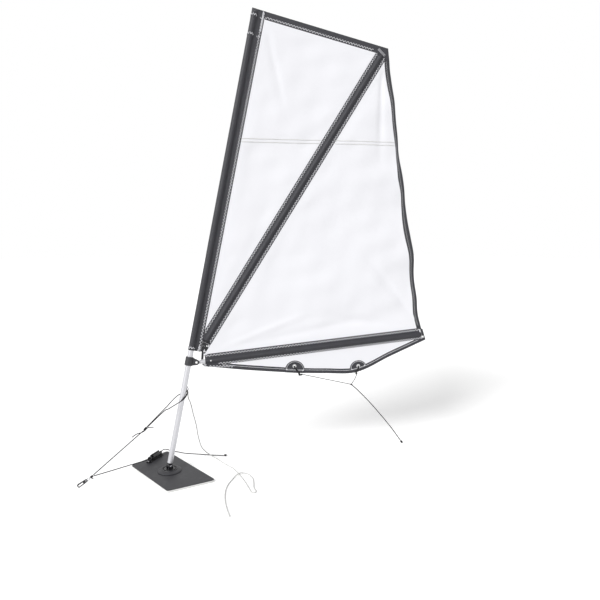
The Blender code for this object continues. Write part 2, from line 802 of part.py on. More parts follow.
def make_stay_eye(looks, mast):
    """The pad eye that the stays are tied to, with its two rivets."""
    face = MAST_RADIUS + CLEARANCE
    half = EYE_BASE_LENGTH / 2
    side = EYE_BASE_WIDTH / 2
    corners = [(-side, -half), (side, -half), (side, half), (-side, half)]
    outline = rounded(corners, side * EYE_CORNER_SHARE, ARC_STEPS // 2)
    place = Matrix.Translation((0, 0, EYE_HEIGHT)) @ Matrix.Rotation(math.radians(90), 4, "Y")
    place = place @ Matrix.Rotation(math.radians(90), 4, "Z")
    eye = prism("stay_eye", outline, face, face + EYE_BASE_THICK, looks["steel"], mast, place)
    foot = face + EYE_BASE_THICK / 2
    straight, bow = eye_bow()
    route = [(foot, 0, EYE_HEIGHT - EYE_SPREAD)]
    for x, z in arc((0, 0), 1.0, -90, 90, ARC_STEPS * 2):
        route.append((straight + x * bow, 0, EYE_HEIGHT + z * EYE_SPREAD))
    route.append((foot, 0, EYE_HEIGHT + EYE_SPREAD))
    wire = swept("eye_bow", route, EYE_WIRE, looks["steel"], mast)
    join(eye, wire)
    seat = face + EYE_BASE_THICK / 2
    top = face + EYE_BASE_THICK + RIVET_HEAD
    for name, z in (("low", -EYE_RIVET_SPACING / 2), ("high", EYE_RIVET_SPACING / 2)):
        shank = RIVET_RADIUS * RIVET_SHANK_SHARE
        profile = [
            (0.0, MAST_BORE - RIVET_HEAD),
            (shank, MAST_BORE - RIVET_HEAD),
            (shank, seat),
            (RIVET_RADIUS, seat),
            (RIVET_RADIUS, top - RIVET_HEAD / 2),
            (RIVET_RADIUS * RIVET_CROWN_SHARE, top),
            (0.0, top),
        ]
        place = along_x((0, 0, EYE_HEIGHT + z))
        join(eye, lathe("eye_rivet_" + name, profile, looks["steel"], mast, place, SMALL_STEPS))
        hole = rod_profile(shank + CLEARANCE, MAST_BORE - OVERRUN, face + OVERRUN)
        drill = lathe("eye_hole_" + name, hole, looks["steel"], mast, place, SMALL_STEPS)
        cut(bpy.data.objects["mast_lower_tube"], drill)


def swept(name, route, radius, look, parent, sides=8, bore=0.0):
    """A round bar, or a tube with a bore, along a route, as a closed mesh."""
    points = [Vector(point) for point in route]
    runs = [(b - a).normalized() for a, b in zip(points, points[1:])]
    tangents = [runs[0]] + [(a + b).normalized() for a, b in zip(runs, runs[1:])] + [runs[-1]]
    side = tangents[0].orthogonal().normalized()
    bm = bmesh.new()
    outer = []
    inner = []
    for point, tangent in zip(points, tangents):
        side = (side - tangent * side.dot(tangent)).normalized()
        up = tangent.cross(side)
        turns = [math.tau * k / sides for k in range(sides)]
        around = [side * math.cos(a) + up * math.sin(a) for a in turns]
        outer.append([bm.verts.new(point + spoke * radius) for spoke in around])
        if bore:
            inner.append([bm.verts.new(point + spoke * bore) for spoke in around])
    for rings in (outer, inner):
        for ring, after in zip(rings, rings[1:]):
            for i in range(sides):
                j = (i + 1) % sides
                bm.faces.new((ring[i], ring[j], after[j], after[i]))
    for end in (0, -1):
        if bore:
            for i in range(sides):
                j = (i + 1) % sides
                bm.faces.new((outer[end][i], outer[end][j], inner[end][j], inner[end][i]))
        else:
            bm.faces.new(outer[end])
    return mesh_object(name, bm, look, parent)


def make_collar(looks, sail):
    """The ring round the mast with its two-cheeked ear, and the gooseneck pin."""
    radius = SLEEVE_BORE + COLLAR_WALL
    half = COLLAR_HEIGHT / 2
    ring = [
        (SLEEVE_BORE, -half),
        (radius - COLLAR_CHAMFER, -half),
        (radius, -half + COLLAR_CHAMFER),
        (radius, half - COLLAR_CHAMFER),
        (radius - COLLAR_CHAMFER, half),
        (SLEEVE_BORE, half),
    ]
    height = Matrix.Translation((0, 0, GOOSENECK_HEIGHT))
    collar = lathe("collar", ring, looks["black_plastic"], sail, height)
    lean = math.degrees(math.asin((half - COLLAR_CHAMFER - EAR_RADIUS) / GOOSENECK_REACH))
    head = arc((GOOSENECK_REACH, 0), EAR_RADIUS, lean - 90, 90 - lean, ARC_STEPS * 2)
    outline = head + [(SLEEVE_BORE, half - COLLAR_CHAMFER), (SLEEVE_BORE, COLLAR_CHAMFER - half)]
    width = TONGUE_WIDTH / 2 + CLEARANCE + EAR_THICK
    upright = height @ Matrix.Rotation(math.radians(90), 4, "X")
    join(collar, prism("collar_ear", outline, -width, width, looks["black_plastic"], sail, upright))
    bore = rod_profile(SLEEVE_BORE, -half - OVERRUN, half + OVERRUN)
    cut(collar, lathe("collar_bore", bore, looks["steel"], sail, height))
    slot = TONGUE_WIDTH / 2 + CLEARANCE
    slot_start = GOOSENECK_REACH - BOOM_TONGUE_RADIUS - CLEARANCE * 3
    slot_end = GOOSENECK_REACH + EAR_RADIUS + OVERRUN
    corners = [(slot_start, -half - OVERRUN), (slot_end, -half - OVERRUN)]
    corners += [(slot_end, half + OVERRUN), (slot_start, half + OVERRUN)]
    cut(collar, prism("collar_slot", corners, -slot, slot, looks["steel"], sail, upright))
    at = along_y((GOOSENECK_REACH, 0, GOOSENECK_HEIGHT))
    hole = rod_profile(GOOSENECK_PIN_RADIUS + CLEARANCE, -width - OVERRUN, width + OVERRUN)
    cut(collar, lathe("collar_pin_hole", hole, looks["steel"], sail, at))
    face = width + CLEARANCE
    pin = [
        (0.0, -face - GOOSENECK_HEAD),
        (GOOSENECK_HEAD_RADIUS * HEAD_FLAT_SHARE, -face - GOOSENECK_HEAD),
        (GOOSENECK_HEAD_RADIUS, -face - GOOSENECK_HEAD * HEAD_CROWN_SHARE),
        (GOOSENECK_HEAD_RADIUS, -face),
        (GOOSENECK_PIN_RADIUS, -face),
        (GOOSENECK_PIN_RADIUS, face + OVERRUN),
        (0.0, face + OVERRUN),
    ]
    lathe("gooseneck_pin", pin, looks["white_plastic"], sail, at)


def make_boom(looks, boom):
    """The end fitting on the gooseneck pin, the tube and its cap."""
    spigot = BOOM_RADIUS - BOOM_WALL - CLEARANCE
    start = BOOM_TUBE_START - CLEARANCE
    profile = [
        (0.0, start - BOOM_END_RIM),
        (BOOM_RADIUS * BOOM_END_FLAT_SHARE, start - BOOM_END_RIM),
        (BOOM_RADIUS, start - BOOM_END_RIM * BOOM_END_ROUND_SHARE),
        (BOOM_RADIUS, start),
        (spigot, start),
        (spigot, start + BOOM_PLUG_DEPTH),
        (0.0, start + BOOM_PLUG_DEPTH),
    ]
    end = lathe("boom_end", profile, looks["pale_plastic"], boom, along_x(), ROUND_STEPS)
    outline = arc((0, 0), BOOM_TONGUE_RADIUS, 90, 270, ARC_STEPS * 2)
    outline += [(start - BOOM_END_RIM / 2, -BOOM_TONGUE_RADIUS)]
    outline += [(start - BOOM_END_RIM / 2, BOOM_TONGUE_RADIUS)]
    upright = Matrix.Rotation(math.radians(90), 4, "X")
    half = TONGUE_WIDTH / 2
    look = looks["pale_plastic"]
    join(end, prism("boom_tongue", outline, -half, half, look, boom, upright))
    bore = rod_profile(GOOSENECK_PIN_RADIUS + CLEARANCE, -half - OVERRUN, half + OVERRUN)
    cut(end, lathe("boom_tongue_bore", bore, look, boom, along_y()))
    tube = tube_profile(BOOM_RADIUS, BOOM_WALL, BOOM_TUBE_START, BOOM_TUBE_END)
    lathe("boom_tube", tube, looks["aluminium"], boom, along_x())


def cap_profile(radius, spigot):
    """A plug that closes a tube whose end lies at height 0."""
    return [
        (0.0, -CAP_DEPTH),
        (spigot, -CAP_DEPTH),
        (spigot, CLEARANCE),
        (radius, CLEARANCE),
        (radius * CAP_FLAT_SHARE, CAP_RIM),
        (0.0, CAP_RIM),
    ]


def sleeve_section(bulge, near, far):
    """Half of a sleeve's outline, (across, off the cloth): flat seams and a round middle."""
    seam = SEAM_THICK / 2
    lift = math.asin(seam / bulge) if near < -bulge else -math.pi / 2
    drop = math.asin(seam / bulge)
    first = math.pi - lift if near < -bulge else math.pi
    last = drop
    points = [(near, seam)] if near < -bulge else []
    for k in range(ARC_STEPS + 1):
        a = first + (last - first) * k / ARC_STEPS
        points.append((bulge * math.cos(a), max(0.0, bulge * math.sin(a))))
    points.append((far, seam))
    return points


def closed_section(half_section):
    """Mirrors half a section across the cloth."""
    lower = [(across, -off) for across, off in reversed(half_section) if off > 0]
    return half_section + lower


def luff_tail(height):
    """How far the luff sleeve reaches aft of the mast's axis at a height."""
    share = (height - LUFF_FOOT) / (HEAD_TOP - LUFF_FOOT)
    return LUFF_TAIL + (LUFF_TAIL_HEAD - LUFF_TAIL) * share


def make_luff_sleeve(looks, sail):
    """The black sleeve that the mast slides into, closed at the head."""
    bulge = SLEEVE_BORE + SLEEVE_WALL
    sections = []
    for height in (LUFF_FOOT, HEAD_TOP):
        outline = closed_section(sleeve_section(bulge, -bulge, luff_tail(height)))
        sections.append([(x, y, height) for x, y in outline])
    sleeve = loft("luff_sleeve", sections, looks["black_cloth"], sail)
    top = MAST_TOP + MAST_CAP + CLEARANCE
    bore = rod_profile(SLEEVE_BORE, LUFF_FOOT - OVERRUN, top)
    cut(sleeve, lathe("luff_bore", bore, looks["steel"], sail))


def boom_to_sail(point):
    """A point of the boom frame in the sail plane."""
    turn = math.radians(BOOM_RISE)
    x, z = point
    across = GOOSENECK_REACH + x * math.cos(turn) - z * math.sin(turn)
    return Vector((across, GOOSENECK_HEIGHT + x * math.sin(turn) + z * math.cos(turn)))


def panel_peak():
    """The top fore corner of the panel behind the sprit, where its sleeve's edge ends."""
    inset = LEECH_BAND + CLEARANCE
    high = leech_point(0, inset)
    low = leech_point(LEECH_HOLLOW_SHARES[1][0], inset)
    under = (Vector((0, HEAD_TOP - HEAD_BAND - PEAK_PATCH)), Vector((1, 0)))
    return meet((high, low - high), under) - Vector((PANEL_TOP, 0))


def sail_lines():
    """The straight edges that the panels share, each a point and a direction."""
    luff_low = Vector((luff_tail(LUFF_FOOT), LUFF_FOOT))
    luff_high = Vector((luff_tail(HEAD_TOP), HEAD_TOP))
    heel = Vector((SPRIT_HEEL_REACH, SPRIT_HEEL_HEIGHT))
    edge = panel_peak() - heel
    lean = math.asin(SPRIT_SLEEVE_HALF / edge.length)
    sprit = (heel, Matrix.Rotation(lean, 2) @ edge.normalized())
    boom_low = boom_to_sail((0, BOOM_SLEEVE_UP))
    boom_high = boom_to_sail((LEECH_FOOT, BOOM_SLEEVE_UP))
    return {
        "luff": (luff_low, luff_high - luff_low),
        "sprit": sprit,
        "sprit_left": shifted(sprit, -SPRIT_SLEEVE_HALF),
        "sprit_right": shifted(sprit, SPRIT_SLEEVE_HALF),
        "head_low": (Vector((0, HEAD_TOP - HEAD_BAND)), Vector((1, 0))),
        "peak_low": (Vector((0, HEAD_TOP - HEAD_BAND - PEAK_PATCH)), Vector((1, 0))),
        "boom": (boom_low, boom_high - boom_low),
    }


LEECH_HOLLOW_SHARES = (
    (0.00, 0.00),
    (0.20, 0.02),
    (0.29, 0.40),
    (0.37, 0.95),
    (0.46, 0.42),
    (0.56, 0.22),
    (0.66, 0.25),
    (0.75, 0.62),
    (0.83, 1.20),
    (0.89, 0.70),
    (0.95, 0.85),
    (1.00, 0.30),
)


def leech_point(share, inset):
    """A point of the leech, hollowed between its ends and set in by a width."""
    peak = Vector((PEAK_REACH, HEAD_TOP))
    foot = boom_to_sail((LEECH_FOOT, BOOM_SLEEVE_UP))
    along = foot - peak
    inward = Vector((along[1], -along[0])).normalized()
    hollow = LEECH_HOLLOW * blend_table(LEECH_HOLLOW_SHARES, share)
    return peak + along * share + inward * (hollow + inset)


def leech_curve(start_height, end_line, inset):
    """The leech from a height down to a line that ends it."""
    points = [leech_point(k / LEECH_STEPS, inset) for k in range(LEECH_STEPS + 1)]
    start = next(i for i, point in enumerate(points) if point[1] < start_height)
    cap = (Vector((0, start_height)), Vector((1, 0)))
    first = meet((points[start - 1], points[start] - points[start - 1]), cap)
    last = meet((points[-2], points[-1] - points[-2]), end_line)
    return [first] + points[start:-1] + [last]


def sheet(name, outline, thick, look, parent, offset=0.0):
    """A flat piece of cloth in the plane of its frame."""
    upright = Matrix.Rotation(math.radians(90), 4, "X")
    low = -offset - thick / 2
    high = -offset + thick / 2
    return prism(name, outline, low, high, look, parent, upright)


def heel_seam():
    """The line across the diagonal sleeve where the flat patch at its heel begins."""
    start, run = sail_lines()["sprit"]
    return start + run * (SPRIT_SEAM - CLEARANCE), Vector((run[1], -run[0]))


def heel_cut():
    """The slanting line that ends the heel of the diagonal sleeve."""
    lines = sail_lines()
    beside_luff = meet(shifted(lines["luff"], CLEARANCE), heel_seam())
    high = beside_luff - lines["luff"][1].normalized() * HEEL_SIDE
    low = meet(lines["sprit_right"], shifted(lines["boom"], -CLEARANCE))
    return high, low - high


def make_sprit(looks, sail):
    """The diagonal sleeve with the sprit tube inside it, and the flat patch at its heel."""
    lines = sail_lines()
    start, run = lines["sprit"]
    right = Vector((run[1], -run[0]))
    luff = shifted(lines["luff"], CLEARANCE)
    peak = shifted(lines["peak_low"], CLEARANCE)

    def along(point):
        return (point - start).dot(run)

    half = SPRIT_SLEEVE_HALF
    high_left = along(meet(lines["sprit_left"], peak))
    high_right = along(meet(lines["sprit_right"], peak))
    bulge = SPRIT_RADIUS + RUNNING + SLEEVE_WALL
    outline = closed_section(sleeve_section(bulge, -half, half))
    sections = []
    for left_end, right_end in ((SPRIT_SEAM, SPRIT_SEAM), (high_left, high_right)):
        section = []
        for across, off in outline:
            share = (across + half) / (2 * half)
            point = start + run * (left_end + (right_end - left_end) * share) + right * across
            section.append((point[0], off, point[1]))
        sections.append(section)
    sleeve = loft("sprit_sleeve", sections, looks["black_cloth"], sail)
    seam = start + run * SPRIT_SEAM
    seam_line = (seam, right)
    beside_luff = luff[1].normalized() * OVERRUN
    low = meet(luff, seam_line) - beside_luff
    high = meet(lines["sprit_left"], luff) + beside_luff
    reach = Vector((half, 0))
    spare = [low, high, high - reach, low - reach]
    thick = bulge * 2 + OVERRUN
    cut(sleeve, sheet("sprit_luff_side", spare, thick, looks["steel"], sail))
    slope = abs(high_left - high_right) / (2 * half) * bulge
    tube_end = (high_left + high_right) / 2 - slope - SLEEVE_CLOSE - CAP_RIM - CLEARANCE * 2
    direction = flat(run)
    place = aimed(flat(start), direction)
    bore = rod_profile(SPRIT_RADIUS + RUNNING, 0, tube_end + CAP_RIM + CLEARANCE)
    cut(sleeve, lathe("sprit_bore", bore, looks["steel"], sail, place))
    tube = tube_profile(SPRIT_RADIUS, SPRIT_WALL, SPRIT_TUBE_START, tube_end)
    lathe("sprit_tube", tube, looks["aluminium"], sail, place)
    spigot = SPRIT_RADIUS - SPRIT_WALL - CLEARANCE
    top = aimed(flat(start + run * tube_end), direction)
    lathe("sprit_cap", cap_profile(SPRIT_RADIUS, spigot), looks["black_plastic"], sail, top)

    under = heel_seam()
    boom_edge = shifted(lines["boom"], -CLEARANCE)
    patch = [
        meet(luff, under),
        meet(lines["sprit_right"], under),
        meet(lines["sprit_right"], boom_edge),
        meet(luff, heel_cut()),
    ]
    sheet("heel_patch", patch, SEAM_THICK, looks["black_cloth"], sail)


def make_sail_panels(looks, sail):
    """Head and leech bands, with the peak's black corner, and the white panels above the boom."""
    lines = sail_lines()
    luff = shifted(lines["luff"], CLEARANCE)
    head_low = lines["head_low"]
    top = (Vector((0, HEAD_TOP)), Vector((1, 0)))
    head_line = shifted(head_low, CLEARANCE)
    boom = shifted(lines["boom"], -CLEARANCE)
    under_head = HEAD_TOP - HEAD_BAND
    under_peak = under_head - PEAK_PATCH
    inset = LEECH_BAND + CLEARANCE
    head = [
        meet(luff, head_low),
        meet(lines["sprit_left"], head_low),
        meet(lines["sprit_left"], lines["peak_low"]),
        leech_curve(under_peak, boom, inset)[0],
        leech_curve(under_head, boom, inset)[0],
        leech_curve(under_head, boom, 0)[0],
        Vector((PEAK_REACH, HEAD_TOP)),
        meet(luff, top),
    ]
    sheet("head_band", head, BAND_THICK, looks["black_cloth"], sail)

    outer = leech_curve(under_head - CLEARANCE, boom, 0)
    inner = leech_curve(under_head - CLEARANCE, boom, LEECH_BAND)
    sheet("leech_band", outer + inner[::-1], BAND_THICK, looks["black_cloth"], sail)

    left = shifted(lines["sprit_left"], -CLEARANCE)
    upper = [meet(luff, left), meet(left, head_line), meet(luff, head_line)]
    sheet("upper_panel", upper, CLOTH_THICK, looks["white_cloth"], sail)

    right = shifted(lines["sprit_right"], CLEARANCE)
    below = under_peak - CLEARANCE
    leech = leech_curve(below, boom, inset)
    cap = (Vector((0, below)), Vector((1, 0)))
    panel = [meet(right, boom)] + leech[::-1] + [meet(right, cap)]
    sheet("leech_panel", panel, CLOTH_THICK, looks["white_cloth"], sail)


def make_tack_strap(looks, sail):
    """The short strap that ties the heel of the diagonal sleeve down to the boom."""
    lines = sail_lines()
    half = STRAP_WIDTH / 2
    tube_top = (boom_to_sail((0, BOOM_RADIUS)), lines["boom"][1])
    under = shifted(heel_cut(), CLEARANCE)
    over = shifted(tube_top, -CLEARANCE * 2)
    corners = []
    for reach in (STRAP_REACH - half, STRAP_REACH + half):
        upright = (Vector((reach, 0)), Vector((0, 1)))
        corners.append((meet(upright, over), meet(upright, under)))
    (low_fore, high_fore), (low_aft, high_aft) = corners
    outline = [low_fore, low_aft, high_aft, high_fore]
    sheet("tack_strap", outline, STRAP_THICK, looks["black_cloth"], sail)


FOOT_SHARES = (
    (0.0000, 0.095),
    (0.0056, 0.153),
    (0.1570, 0.408),
    (0.2760, 0.588),
    (0.3950, 0.753),
    (0.5200, 0.893),
    (0.6530, 1.000),
    (0.8270, 0.603),
    (1.0000, 0.2055),
)


def foot_low(x):
    """Height of the foot's lower edge under the boom's axis."""
    share = (x - FOOT_START) / (FOOT_END - FOOT_START)
    return -FOOT_DEPTH * blend_table(FOOT_SHARES, max(0.0, share))


def foot_station(share):
    """Place along the boom of a share of the foot."""
    return FOOT_START + (FOOT_END - FOOT_START) * share


def sleeve_low(x):
    """Height of the boom sleeve's lower edge, which starts under the bare tube."""
    share = min(1.0, max(0.0, (x - BOOM_SLEEVE_START) / BOOM_SLEEVE_NOSE))
    return -(BOOM_SLEEVE_NOSE_DOWN + (BOOM_SLEEVE_DOWN - BOOM_SLEEVE_NOSE_DOWN) * share)


def make_boom_sleeve(looks, boom):
    """The black sleeve round the boom, with a seam above and below it."""
    bulge = BOOM_RADIUS + RUNNING + SLEEVE_WALL
    stations = (BOOM_SLEEVE_START, BOOM_SLEEVE_START + BOOM_SLEEVE_NOSE, BOOM_SLEEVE_END)
    sections = []
    for x in stations:
        outline = closed_section(sleeve_section(bulge, sleeve_low(x), BOOM_SLEEVE_UP))
        sections.append([(x, off, across) for across, off in outline])
    sleeve = loft("boom_sleeve", sections, looks["black_cloth"], boom)
    inside = BOOM_SLEEVE_END - CLEW_OVERLAP
    clew = [
        (inside, -BOOM_SLEEVE_DOWN),
        (FOOT_END, -BOOM_SLEEVE_DOWN),
        (FOOT_END - CLEW_TOP_SETBACK, CLEW_TOP),
        (inside, BOOM_SLEEVE_UP),
    ]
    join(sleeve, sheet("clew_end", clew, SEAM_THICK, looks["black_cloth"], boom))
    end = BOOM_TUBE_END + CLEARANCE
    bore = rod_profile(BOOM_RADIUS + RUNNING, BOOM_SLEEVE_START - OVERRUN, end)
    cut(sleeve, lathe("boom_sleeve_bore", bore, looks["steel"], boom, along_x()))
    at = (FOOT_END - CLEW_EYELET_SETBACK, -CLEW_EYELET_DROP)
    eyelet(looks, "clew_eyelet", at, SEAM_THICK / 2, CLEW_EYELET_SCALE, (sleeve,), boom)


def panel_ends():
    """Where the white foot panel starts and ends under the boom sleeve."""
    wanted = BOOM_SLEEVE_DOWN + FOOT_BAND + FOOT_TIP
    fore = None
    aft = None
    for (a, deep_a), (b, deep_b) in zip(FOOT_SHARES, FOOT_SHARES[1:]):
        low, high = deep_a * FOOT_DEPTH, deep_b * FOOT_DEPTH
        if low < wanted <= high:
            fore = a + (b - a) * (wanted - low) / (high - low)
        if high <= wanted < low:
            aft = a + (b - a) * (low - wanted) / (low - high)
    return foot_station(fore), foot_station(aft)


def make_foot(looks, boom):
    """The band along the foot and the white panel above it."""
    start, end = panel_ends()
    edge = [foot_station(share) for share, _ in FOOT_SHARES]
    inside = [x for x in edge if start < x < end]
    bends = [edge[0], BOOM_SLEEVE_START, BOOM_SLEEVE_START + BOOM_SLEEVE_NOSE, start]
    lower = [(x, foot_low(x)) for x in edge]
    upper = [(x, sleeve_low(x) - CLEARANCE) for x in bends]
    upper += [(x, foot_low(x) + FOOT_BAND) for x in [start] + inside + [end]]
    upper += [(x, sleeve_low(x) - CLEARANCE) for x in (end, edge[-1])]
    band = sheet("foot_band", lower + upper[::-1], BAND_THICK, looks["black_cloth"], boom)
    fore_x, aft_x = start + CLEARANCE, end - CLEARANCE
    stations = [fore_x] + [x for x in inside if fore_x < x < aft_x] + [aft_x]
    low_edge = [(x, foot_low(x) + FOOT_BAND + CLEARANCE) for x in stations]
    top_edge = -BOOM_SLEEVE_DOWN - CLEARANCE
    outline = low_edge + [(aft_x, top_edge), (fore_x, top_edge)]
    panel = sheet("foot_panel", outline, CLOTH_THICK, looks["white_cloth"], boom)
    return band, panel


def eyelet(looks, name, at, face, scale, pieces, parent):
    """A turned metal eyelet through the pieces it holds."""
    lip = face + CLEARANCE
    outer = lip + EYELET_LIP
    hole, barrel, flange = (size * scale for size in (EYELET_HOLE, EYELET_BARREL, EYELET_FLANGE))
    profile = [
        (hole, -outer),
        (flange, -outer),
        (flange, -lip),
        (barrel, -lip),
        (barrel, lip),
        (flange, lip),
        (flange, outer),
        (hole, outer),
    ]
    place = along_y((at[0], 0, at[1]))
    lathe(name, profile, looks["eyelet"], parent, place, ROUND_STEPS * 2 // 3)
    bore = rod_profile(barrel + CLEARANCE, -outer - OVERRUN, outer + OVERRUN)
    drill = lathe(name + "_hole", bore, looks["steel"], parent, place, ROUND_STEPS * 2 // 3)
    for piece in pieces:
        cut(piece, drill)


def foot_edge(first, last, drop):
    """The foot's lower edge between two places, lowered by a drop."""
    bends = [foot_station(share) for share, _ in FOOT_SHARES]
    stations = [first] + [x for x in bends if first < x < last] + [last]
    return [Vector((x, foot_low(x) - drop)) for x in stations]


def make_foot_patches(looks, boom, band, panel):
    """Half-moon patches folded round the foot's edge, each with its eyelet and lashing."""
    inner = BAND_THICK / 2 + CLEARANCE
    face = inner + PATCH_THICK
    for name, x, radius, rise, shift, length in (
        ("fore", FORE_PATCH_AT, FORE_PATCH_RADIUS, FORE_EYELET_RISE, FORE_KNOT_SHIFT, FORE_KNOT_LENGTH),
        ("aft", AFT_PATCH_AT, AFT_PATCH_RADIUS, AFT_EYELET_RISE, AFT_KNOT_SHIFT, AFT_KNOT_LENGTH),
    ):
        left, right = foot_low(x - radius), foot_low(x + radius)
        turn = math.degrees(math.atan2(right - left, radius * 2))
        centre = Vector((x, (left + right) / 2 + PATCH_RISE))
        moon = [Vector(point) for point in arc(centre, radius, turn, turn + 180, ARC_STEPS * 2)]
        first, last = moon[-1][0], moon[0][0]
        outline = foot_edge(first, last, CLEARANCE + PATCH_THICK) + moon
        patch = sheet(name + "_patch", outline, face * 2, looks["black_cloth"], boom)
        over = centre[1] + radius * 2
        slot = foot_edge(first - OVERRUN, last + OVERRUN, CLEARANCE)
        slot += [Vector((last + OVERRUN, over)), Vector((first - OVERRUN, over))]
        cut(patch, sheet(name + "_fold", slot, inner * 2, looks["steel"], boom))
        at = (x, centre[1] + rise)
        eyelet(looks, name + "_eyelet", at, face, 1.0, (patch, band, panel), boom)
        make_lashing(looks, boom, name, at, face, shift, length)


def knot_centre(x):
    """The middle of a knot that hangs just under the foot."""
    return Vector((x, 0, foot_low(x) - KNOT_DROP))


def make_lashing(looks, boom, name, at, face, shift, length):
    """A loop of cord through the eyelet and round the foot, and the knot below it."""
    x, z = at
    middle = knot_centre(x + shift)
    near = x + shift - length / 2 + SMALL_KNOT_RADIUS if shift > 0 else x + shift
    along = (near - middle[0] + length / 2) / length
    outer = face + CLEARANCE + EYELET_LIP
    reach = outer + LASHING_CORD / 2 + CLEARANCE * 3
    rim = math.sqrt(reach**2 - outer**2)
    centre = z - EYELET_HOLE + LASHING_CORD / 2 + CLEARANCE * 5 - rim
    edge = foot_low(near) - CLEARANCE - PATCH_THICK
    start = middle[2] + knot_width(SMALL_KNOT_RADIUS, 3, along)
    side = SMALL_KNOT_RADIUS * LASHING_SIDE_SHARE
    corner = face + LASHING_CORD / 2 + CLEARANCE * 2
    high = edge + KNOT_DROP
    part = (high - edge) / (centre - edge)
    between = near + (x - near) * part
    down = [(near, side, start), (near, corner, edge), (between, reach, high)]
    route = [(px, -py, pz) for px, py, pz in down]
    route += [(x, y, rise) for y, rise in arc((0, centre), reach, 180, 0, ARC_STEPS)]
    route += down[::-1]
    look = looks["black_cord"]
    cord(name + "_lashing", route, LASHING_CORD, look, boom, LASHING_SPACING)
    begin = middle - Vector((length / 2, 0, 0))
    knot(name + "_knot", begin, (1, 0, 0), length, SMALL_KNOT_RADIUS, 3, look, boom)


BRIDLE_JOINT = (0.7287, 0.0, -0.2019)
SHEET_ROUTE = (
    (0.7325, -0.0009, -0.2066),
    (0.7550, -0.0190, -0.2330),
    (0.8010, -0.0640, -0.3000),
    (0.8540, -0.1200, -0.3900),
    (0.8900, -0.1640, -0.4640),
)


def make_bridle(looks, boom):
    """The two-legged bridle under the foot, its joint and the sheet that leads down."""
    look = looks["black_cord"]
    end = SMALL_KNOT_LENGTH / 2 + CLEARANCE
    joint = Vector(BRIDLE_JOINT)
    fore = knot_centre(FORE_PATCH_AT + FORE_KNOT_SHIFT)
    fore += Vector((FORE_KNOT_LENGTH / 2 + CLEARANCE, 0, 0))
    run = (joint - fore).normalized()
    fore += run * CLEARANCE
    fore_end = joint - run * end
    leg = [fore, fore.lerp(fore_end, 0.5), fore_end]
    cord("bridle_fore_leg", leg, BRIDLE_CORD, look, boom, LONG_CORD_SPACING)
    radius = SMALL_KNOT_RADIUS
    begin = joint - run * (end - CLEARANCE)
    knot("bridle_knot", begin, run, SMALL_KNOT_LENGTH, radius, 2, look, boom)
    aft = knot_centre(AFT_PATCH_AT + AFT_KNOT_SHIFT) - Vector((0, 0, radius + CLEARANCE * 2))
    up = (aft - joint).normalized()
    start = joint + up * (radius + CLEARANCE * 3)
    bow = Vector((BRIDLE_CORD, 0, 0))
    cord("bridle_aft_leg", [start, start.lerp(aft, 0.5) + bow, aft], BRIDLE_CORD, look, boom)
    cord("sheet", SHEET_ROUTE, SHEET_CORD, look, boom, LONG_CORD_SPACING)
    last = Vector(SHEET_ROUTE[-1])
    lead = (last - Vector(SHEET_ROUTE[-2])).normalized()
    knot("sheet_knot", last + lead * CLEARANCE, lead, KNOT_LENGTH, KNOT_RADIUS, 3, look, boom)


def make_bow_fittings(looks):
    """The knot, ring and snap hook that hold the forestay to the bow."""
    drop = math.radians(BOW_DROP)
    down = Vector((-math.cos(drop), 0, -math.sin(drop)))
    start = Vector(BOW_KNOT_AT)
    knot("bow_knot", start, down, KNOT_LENGTH, KNOT_RADIUS, 3, looks["black_cord"], None)
    ring_at = start + down * (KNOT_LENGTH + CLEARANCE + RING_WIRE + RING_RADIUS)
    turns = [math.tau * k / RING_SIDES for k in range(RING_SIDES)]
    section = [(RING_RADIUS + RING_WIRE * math.cos(a), RING_WIRE * math.sin(a)) for a in turns]
    tilt = Matrix.Translation(ring_at) @ Matrix.Rotation(math.radians(-BOW_DROP), 4, "Y")
    lathe("bow_ring", section, looks["steel"], None, tilt, RING_STEPS)

    inner = math.sqrt((RING_RADIUS - RING_WIRE) ** 2 - (HOOK_THICK / 2) ** 2)
    eye_at = ring_at + down * (inner - CLEARANCE + HOOK_EYE)
    turned = Matrix.Translation(eye_at) @ Matrix.Rotation(math.radians(180 - BOW_DROP), 4, "Y")
    hook = frame("hook_frame", None, turned)
    make_snap_hook(looks, hook)


